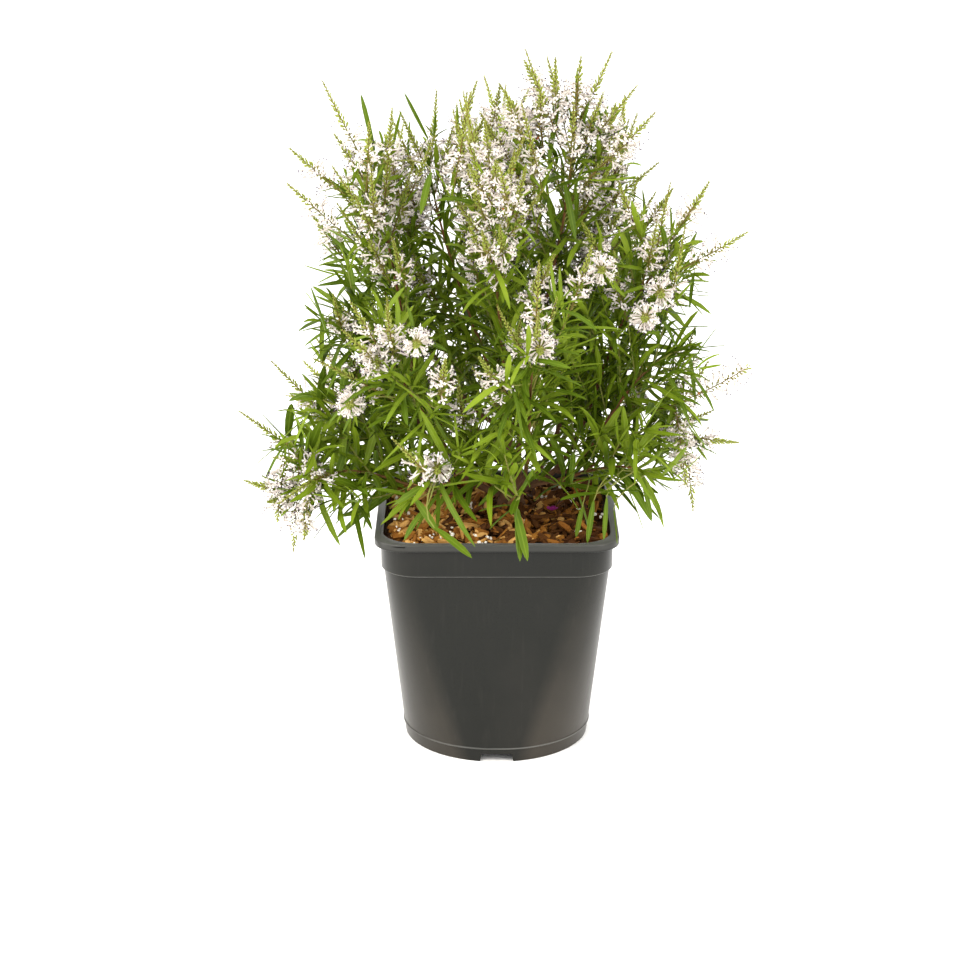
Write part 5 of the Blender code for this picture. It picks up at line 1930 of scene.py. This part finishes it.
    def twigs_to(self, foot: Array, way: Array) -> Curves:
        """Twigs from the nearest stem, most gladly from one below.

        Args:
            foot: where the twigs end.
            way: their directions there.

        Returns:
            The twigs: cubics that leave the stem along it and end along way.
        """
        steps, below, reach = 28, 0.7, 0.36
        stems = Curves(np.concatenate([limb.stem().handles for limb in self.limbs]))
        share = np.broadcast_to(np.linspace(0.05, 0.97, steps), (len(stems), steps))
        spot, along = stems.at(share).reshape(-1, 3), stems.way(share).reshape(-1, 3)
        gap = foot[:, None] - spot[None]
        cost = np.linalg.norm(gap, axis=2) + below * np.maximum(0, -gap[..., 2])
        nearest = cost.argmin(axis=1)
        root, along = spot[nearest], along[nearest]
        run = np.linalg.norm(foot - root, axis=1, keepdims=True) * reach
        return Curves(np.stack([root, root + along * run, foot - way * run, foot], axis=1))

    def is_clear(self, curves: Curves, margin: float) -> Array:
        """Tells which curves keep clear of the pot and the mulch, and hang no lower than the crown does.

        Args:
            curves: the curves.
            margin: room that they keep.

        Returns:
            A mask.
        """
        points = curves.samples(0.1, 8)
        square = np.abs(points[..., :2]).max(axis=-1)
        height = points[..., 2]
        over_pot = square < self.pot.rim_half + margin
        inside = square < self.pot.band_half - self.pot.wall - margin
        floor = np.where(inside, self.trunk.foot[2] + 4 * MM, self.pot.height)
        return ~np.any((over_pot & (height < floor + margin)) | (height < self.lowest), axis=1)

    def is_within(self, curves: Curves) -> Array:
        """Tells which curves end within the outline as seen from the front, a little more or less.

        A tip is carried along its line of sight to the plane through the pot's axis, as the outline is.

        Args:
            curves: the curves.

        Returns:
            A mask.
        """
        random, n = self.random, len(curves)
        eye, tip = np.array(self.eye), curves.at(1.0)
        seen = eye + (tip - eye) * (-eye[1] / (tip[:, 1] - eye[1]))[:, None]
        height, left, right = np.array(OUTLINE).T
        slack = random.uniform(-10, 6, n) * MM
        before_mulch = (seen[:, 2] < self.open_below) & (np.abs(seen[:, 0]) < self.pot.band_half)
        thinned = before_mulch & (random.uniform(size=n) < self.thinning)
        low, high = np.interp(seen[:, 2], height, left), np.interp(seen[:, 2], height, right)
        inside = (seen[:, 0] > low - slack) & (seen[:, 0] < high + slack) & (seen[:, 2] < height[-1])
        return inside & ~thinned & ~self.hides_flower(curves)

    def hides_flower(self, curves: Curves) -> Array:
        """Tells which curves stand before the fallen flower, seen from the front.

        Args:
            curves: the curves.

        Returns:
            A mask.
        """
        eye, flower = np.array(self.eye), self.mulch.flower_spot()
        points = curves.samples(0.1, 8)
        reach = (flower[2] - eye[2]) / (points[..., 2] - eye[2])
        landing = eye[:2] + (points[..., :2] - eye[:2]) * reach[..., None]
        apart = np.linalg.norm((landing - flower[:2]) * (1.0, 0.4), axis=2)
        return np.any(apart < self.flower_view, axis=1)


@dataclass
class Leafage:
    """Leaf blades in three greens."""

    crown: Crown
    depth: float = 0.5 * MM
    shares: tuple[float, ...] = (0.05, 0.24, 0.50, 0.76, 0.93)  # where the sections stand
    widths: tuple[float, ...] = (0.44, 0.84, 1.0, 0.90, 0.46)  # against the greatest
    depths: tuple[float, ...] = (1.0, 1.0, 1.0, 0.8, 0.6)  # against the greatest

    def build(self) -> None:
        """Makes the blades, one piece to each green."""
        curves, (roll, tone, width) = self.crown.leaves.gather()
        normal = around(curves.way(0.0), math.pi / 2 + roll)
        across = width[:, None] / 2 * np.array(self.widths)
        up = self.depth / 2 * np.array(self.depths)
        greens = {Tone.DARK: Finishes.LEAF_DARK, Tone.MID: Finishes.LEAF_MID, Tone.YOUNG: Finishes.LEAF_YOUNG}
        for kind, finish in greens.items():
            pick = tone == kind.value
            skin = Skin()
            skin.sweep(curves.pick(pick), self.shares, across[pick], up, normal[pick], Section.BLADE)
            put_skin(f"leaves_{kind.name.lower()}", skin, finish, crease=50)


@dataclass
class Twiggery:
    """The leafy stems and their twigs."""

    crown: Crown
    red_share: float = 0.86  # how far up a leafy stem its bark is red-brown
    overlap: float = 0.01  # share by which the green part starts sooner
    red_rings: int = 14
    green_rings: int = 6
    green_radii: Span = (0.95 * MM, 0.6 * MM)
    twig_radii: Span = (0.8 * MM, 0.45 * MM)

    def build(self) -> None:
        """Makes the red-brown stems, which stand for the solids' foliage, and the green stems and twigs."""
        red, green = Skin(), Skin()
        red_shares, green_shares = np.linspace(0, 1, self.red_rings), np.linspace(0, 1, self.green_rings)
        green_width = np.linspace(*self.green_radii, self.green_rings)
        for limb in self.crown.limbs:
            stem = limb.stem()
            lower, upper = stem.part(0.0, self.red_share), stem.part(self.red_share - self.overlap, 1.0)
            normal = around(stem.way(0.0), 0.0)
            width = np.linspace(limb.size.tip_radius, self.green_radii[0], self.red_rings)
            red.sweep(lower, red_shares, width, width, normal, Section.ROUND)
            green.sweep(upper, green_shares, green_width, green_width, normal, Section.ROUND)
        twigs, _ = self.crown.twigs.gather()
        green.rods(twigs, green_shares, np.linspace(*self.twig_radii, self.green_rings), Section.TWIG)
        nodes = [f"foliage_{limb.shoot.name}" for limb in self.crown.limbs]
        put_skin("leafy_stems", red, Finishes.RED_STEM, nodes)
        put_skin("green_twigs", green, Finishes.GREEN_STEM)


@dataclass
class Inflorescence:
    """Flower spikes: each a slim stalk set in a spiral with spent and open flowers, and buds to its point."""

    crown: Crown
    florets: int = 60
    bare: float = 0.16  # share of the stalk below the first floret
    end: float = 0.99
    crowding: float = 0.78  # power by which they stand closer towards the point
    straying: float = 0.006  # share of the stalk
    age_spread: float = 0.03
    kept_cups: float = 0.75  # share of the spent flowers
    kept_flowers: float = 0.80  # share of the open flowers
    withered: float = 0.03  # share of the spent flowers
    stalk_rings: int = 8
    stalk_radii: Span = (0.65 * MM, 0.40 * MM)
    bud: float = 6.4 * MM
    bud_closing: float = 0.66  # how much smaller the last bud is
    bud_radii: Span = (0.120, 0.165)  # shares of its length
    cup: Span = (3.4 * MM, 5.4 * MM)
    cup_radii: Span = (0.42 * MM, 1.12 * MM)  # of its stalk and its mouth
    flower_out: float = 3.2 * MM  # from the stalk's middle to the tube
    tube: Span = (5.4 * MM, 9.0 * MM)
    tube_radii: Span = (0.50 * MM, 0.95 * MM)
    lobe: Span = (3.2 * MM, 4.8 * MM)
    lobe_width: float = 0.28  # half, as a share of its length
    lobe_depth: float = 0.16  # as a share of its width
    filament: Span = (2.4 * MM, 4.8 * MM)
    filament_radius: float = 0.17 * MM
    anther: float = 1.8 * MM
    anther_radius: float = 0.58 * MM
    random: np.random.Generator = field(default_factory=lambda: np.random.default_rng(SEED + 900))

    def build(self) -> None:
        """Makes the stalks, buds, cups, open flowers and withered flowers.

        A floret's age is how far below the opening bud it sits, as a share of the stalk.
        """
        axes, (opened, blooming) = self.crown.spikes.gather()
        opened, blooming = opened[:, None], blooming[:, None]
        random, n, m = self.random, len(axes), self.florets
        share = self.bare + (self.end - self.bare) * np.linspace(0, 1, m) ** self.crowding
        share = share + random.uniform(-self.straying, self.straying, (n, m))
        turn = np.arange(m) * GOLDEN_TURN + random.uniform(0, FULL_TURN, n)[:, None]
        nodes = Nodes.on(axes, share, turn)
        age = opened - share + random.uniform(-self.age_spread, self.age_spread, (n, m))
        is_bud, is_spent = age < 0, age >= blooming
        is_open = ~is_bud & ~is_spent
        self.make_stalks(axes)
        self.make_buds(nodes.pick(is_bud), (-age / (1 - opened))[is_bud])
        cupped = is_open | (is_spent & (random.uniform(size=(n, m)) < self.kept_cups))
        self.make_cups(nodes.pick(cupped))
        self.make_flowers(nodes.pick(is_open & (random.uniform(size=(n, m)) < self.kept_flowers)))
        self.make_withered(nodes.pick(is_spent & (random.uniform(size=(n, m)) < self.withered)))

    def make_stalks(self, axes: Curves) -> None:
        """One tapering stalk to a spike."""
        skin = Skin()
        width = np.linspace(*self.stalk_radii, self.stalk_rings)
        skin.rods(axes, np.linspace(0, 1, self.stalk_rings), width, Section.TWIG)
        put_skin("spike_stalks", skin, Finishes.SPIKE_STALK)

    def make_buds(self, nodes: Nodes, ahead: Array) -> None:
        """Pointed ovals that lean out from the stalk, and shrink and close up towards its point.

        Args:
            nodes: where the buds sit.
            ahead: how far each is from opening, 1 at the spike's point.
        """
        ahead, away = np.clip(ahead, 0, 1), nodes.away()
        size = self.bud * (1 - self.bud_closing * ahead)
        direction = unit(nodes.along + away * (1.10 - 0.55 * ahead)[:, None])
        curves = Curves.arcs(nodes.base, direction, size, away * (-0.12 * size)[:, None])
        skin = Skin()
        skin.rods(curves, (0.34, 0.72), size[:, None] * np.array(self.bud_radii), Section.FLAT)
        put_skin("flower_buds", skin, Finishes.BUD, crease=40)

    def make_cups(self, nodes: Nodes) -> None:
        """Short stalks that swell into a cup under each open or spent flower.

        Args:
            nodes: where the flowers sit.
        """
        direction = unit(nodes.along * 0.45 + nodes.away())
        curves = Curves.arcs(nodes.base, direction, self.random.uniform(*self.cup, len(nodes)), direction * 0)
        skin = Skin()
        skin.rods(curves, (0.35, 0.80), np.array(self.cup_radii), Section.THREAD)
        put_skin("flower_cups", skin, Finishes.CALYX)

    def make_flowers(self, nodes: Nodes) -> None:
        """Open flowers: a slim tube with four spreading lobes, and two long filaments with dark tips.

        Args:
            nodes: where the flowers sit.
        """
        n, random = len(nodes), self.random
        upward = nodes.along * random.uniform(-0.1, 0.8, (n, 1))
        out = unit(upward + nodes.away() + random.normal(0, 0.12, (n, 3)))
        start = nodes.base + out * self.flower_out
        length = random.uniform(*self.tube, n)
        tubes, petals, threads, tips = Skin(), Skin(), Skin(), Skin()
        tubes.rods(
            Curves.arcs(start, out, length, out * 0), (0.2, 0.9), np.array(self.tube_radii), Section.FLAT
        )
        mouth = start + out * (length * 0.92)[:, None]
        spin = random.uniform(0, FULL_TURN, n)
        for lobe in range(4):
            self.add_lobe(petals, mouth, out, spin + lobe * math.pi / 2)
        for side in (0, 1):
            self.add_filament(threads, tips, mouth, out, spin + side * math.pi + math.pi / 4)
        put_skin("flower_tubes", tubes, Finishes.TUBE)
        put_skin("flower_petals", petals, Finishes.PETAL)
        put_skin("flower_filaments", threads, Finishes.FILAMENT)
        put_skin("flower_anthers", tips, Finishes.ANTHER)

    def add_lobe(self, skin: Skin, mouth: Array, out: Array, turn: Array) -> None:
        """One narrow lobe at each mouth, spreading and curling back a little.

        Args:
            skin: what it is added to.
            mouth: the flowers' mouths.
            out: the way that each flower looks.
            turn: where round the mouth the lobe stands.
        """
        n, random = len(mouth), self.random
        tilt = random.uniform(0.55, 1.25, n)[:, None]
        direction = unit(out * np.cos(tilt) + around(out, turn) * np.sin(tilt))
        length = random.uniform(*self.lobe, n)
        curves = Curves.arcs(mouth, direction, length, -out * (length * 0.18)[:, None])
        width = length[:, None] * self.lobe_width
        skin.sweep(curves, (0.66,), width, width * self.lobe_depth, out, Section.FLAT)

    def add_filament(self, threads: Skin, tips: Skin, mouth: Array, out: Array, turn: Array) -> None:
        """One thread from each mouth, with an oval tip set across its end.

        Args:
            threads: what the threads are added to.
            tips: what the tips are added to.
            mouth: the flowers' mouths.
            out: the way that each flower looks.
            turn: where round the mouth the thread stands.
        """
        n, random, off = len(mouth), self.random, around(out, turn)
        direction = unit(out + off * random.uniform(0.15, 0.6, (n, 1)))
        length = random.uniform(*self.filament, n)
        curves = Curves.arcs(mouth, direction, length, off * (length * 0.15)[:, None])
        threads.rods(curves, (0.5,), np.array((self.filament_radius,)), Section.THREAD)
        across = around(direction, random.uniform(0, FULL_TURN, n))
        base = curves.at(1.0) - across * self.anther / 2
        tip = Curves.arcs(base, across, np.full(n, self.anther), across * 0)
        width = np.array((self.anther_radius,))
        tips.sweep(tip, (0.5,), width, width, direction, Section.FLAT)

    def make_withered(self, nodes: Nodes) -> None:
        """A few orange-brown flowers that still cling below the open ones.

        Args:
            nodes: where they sit.
        """
        n, direction = len(nodes), unit(nodes.away() + nodes.along * 0.2)
        sag = -UP * np.full((n, 1), 1.5 * MM)
        curves = Curves.arcs(nodes.base + direction * 2 * MM, direction, np.full(n, 5 * MM), sag)
        skin = Skin()
        skin.rods(curves, (0.3, 0.75), np.array((0.7, 1.1)) * MM, Section.TWIG)
        put_skin("withered_flowers", skin, Finishes.WITHERED)


# Studio


@dataclass(frozen=True)
class Lamp:
    """A soft lamp that looks at the plant."""

    name: str
    place: Place
    size: Span
    power: float  # watts
    colour: Colour = (1.0, 0.96, 0.88)
    aim: float = 0.30  # height of what it looks at

    def hang(self) -> None:
        """Puts the lamp into the scene, its face square to the line to its aim."""
        data = bpy.data.lights.new(self.name, "AREA")
        data.shape = "RECTANGLE"
        data.size, data.size_y = self.size
        data.energy = self.power
        data.color = self.colour
        x, y, z = np.array((0.0, 0.0, self.aim)) - np.array(self.place)
        lamp = link(self.name, data)
        lamp.location = self.place
        lamp.rotation_euler = (math.atan2(math.hypot(x, y), -z), 0.0, math.atan2(y, x) - math.pi / 2)


@dataclass
class Studio:
    """Pale floor, soft light and the camera of the photograph's view."""

    eye: Place = (-0.0097, -2.1365, 0.9201)
    pitch: float = 0.3174  # downwards, in radians
    lens: float = 99.37  # mm
    sensor: float = 36.0  # mm
    floor_half: float = 30.0
    white: float = 0.96
    surround: float = 1.5  # even light from all around
    lamps: tuple[Lamp, ...] = (
        Lamp("key", (-1.3, -1.9, 2.3), (1.5, 1.5), 66.0),
        Lamp("fill", (1.9, -1.4, 1.5), (1.2, 1.2), 24.0),
        Lamp("back", (0.4, 1.9, 2.2), (1.4, 1.4), 16.0),
        Lamp("left_strip", (-1.1, -0.25, 0.55), (0.5, 1.1), 9.0),
        Lamp("right_strip", (0.95, -0.85, 0.55), (0.30, 1.1), 5.0),
    )

    def build(self) -> None:
        """Sets the stage."""
        self.lay_floor()
        self.light()
        self.place_camera()

    def lay_floor(self) -> None:
        """A level white sheet."""
        h = self.floor_half
        mesh = bpy.data.meshes.new("studio_floor")
        mesh.from_pydata([(-h, -h, 0), (h, -h, 0), (h, h, 0), (-h, h, 0)], [], [(0, 1, 2, 3)])
        graph = Graph("studio_white")
        colour = (self.white, self.white, self.white, 1.0)
        mesh.materials.append(graph.finish(graph.node("ShaderNodeBsdfDiffuse", {}, {"Color": colour})))
        link("studio_floor", mesh)

    def light(self) -> None:
        """A bright even surround, and the lamps."""
        scene = bpy.context.scene
        scene.world = bpy.data.worlds.new("studio_surround")
        scene.world.use_nodes = True
        background = scene.world.node_tree.nodes["Background"]
        background.inputs["Color"].default_value = (1.0, 1.0, 1.0, 1.0)
        background.inputs["Strength"].default_value = self.surround
        for lamp in self.lamps:
            lamp.hang()
        scene.view_settings.view_transform = "Standard"

    def place_camera(self) -> None:
        """The camera, a little above the crown and looking down at the plant."""
        data = bpy.data.cameras.new("camera")
        data.sensor_fit = "HORIZONTAL"
        data.sensor_width = self.sensor
        data.lens = self.lens
        camera = link("camera", data)
        camera.location = self.eye
        camera.rotation_euler = (math.pi / 2 - self.pitch, 0.0, 0.0)
        bpy.context.scene.camera = camera


def plain(box: Any) -> list[list[float]]:
    """A box's two corners as plain lists."""
    return [[float(value) for value in corner] for corner in box]


def main() -> None:
    """Builds and dresses the whole plant."""
    logging.basicConfig(level=logging.INFO, format="%(name)s %(message)s")
    LOG.info("dressing %d nodes of the solids", len(frame["nodes"]))
    studio = Studio()
    studio.build()
    pot = Pot()
    pot.build()
    mulch = Mulch(pot)
    mulch.build()
    trunk = Trunk()
    limbs: dict[str, Limb] = {}
    for shoot in SHOOTS:
        limbs[shoot.name] = Limb(shoot, trunk, limbs)
    Woodwork(trunk, list(limbs.values())).build()
    crown = Crown(trunk, pot, mulch, list(limbs.values()), studio.eye)
    crown.grow()
    Twiggery(crown).build()
    Leafage(crown).build()
    Inflorescence(crown).build()


if __name__ == "__main__":
    main()
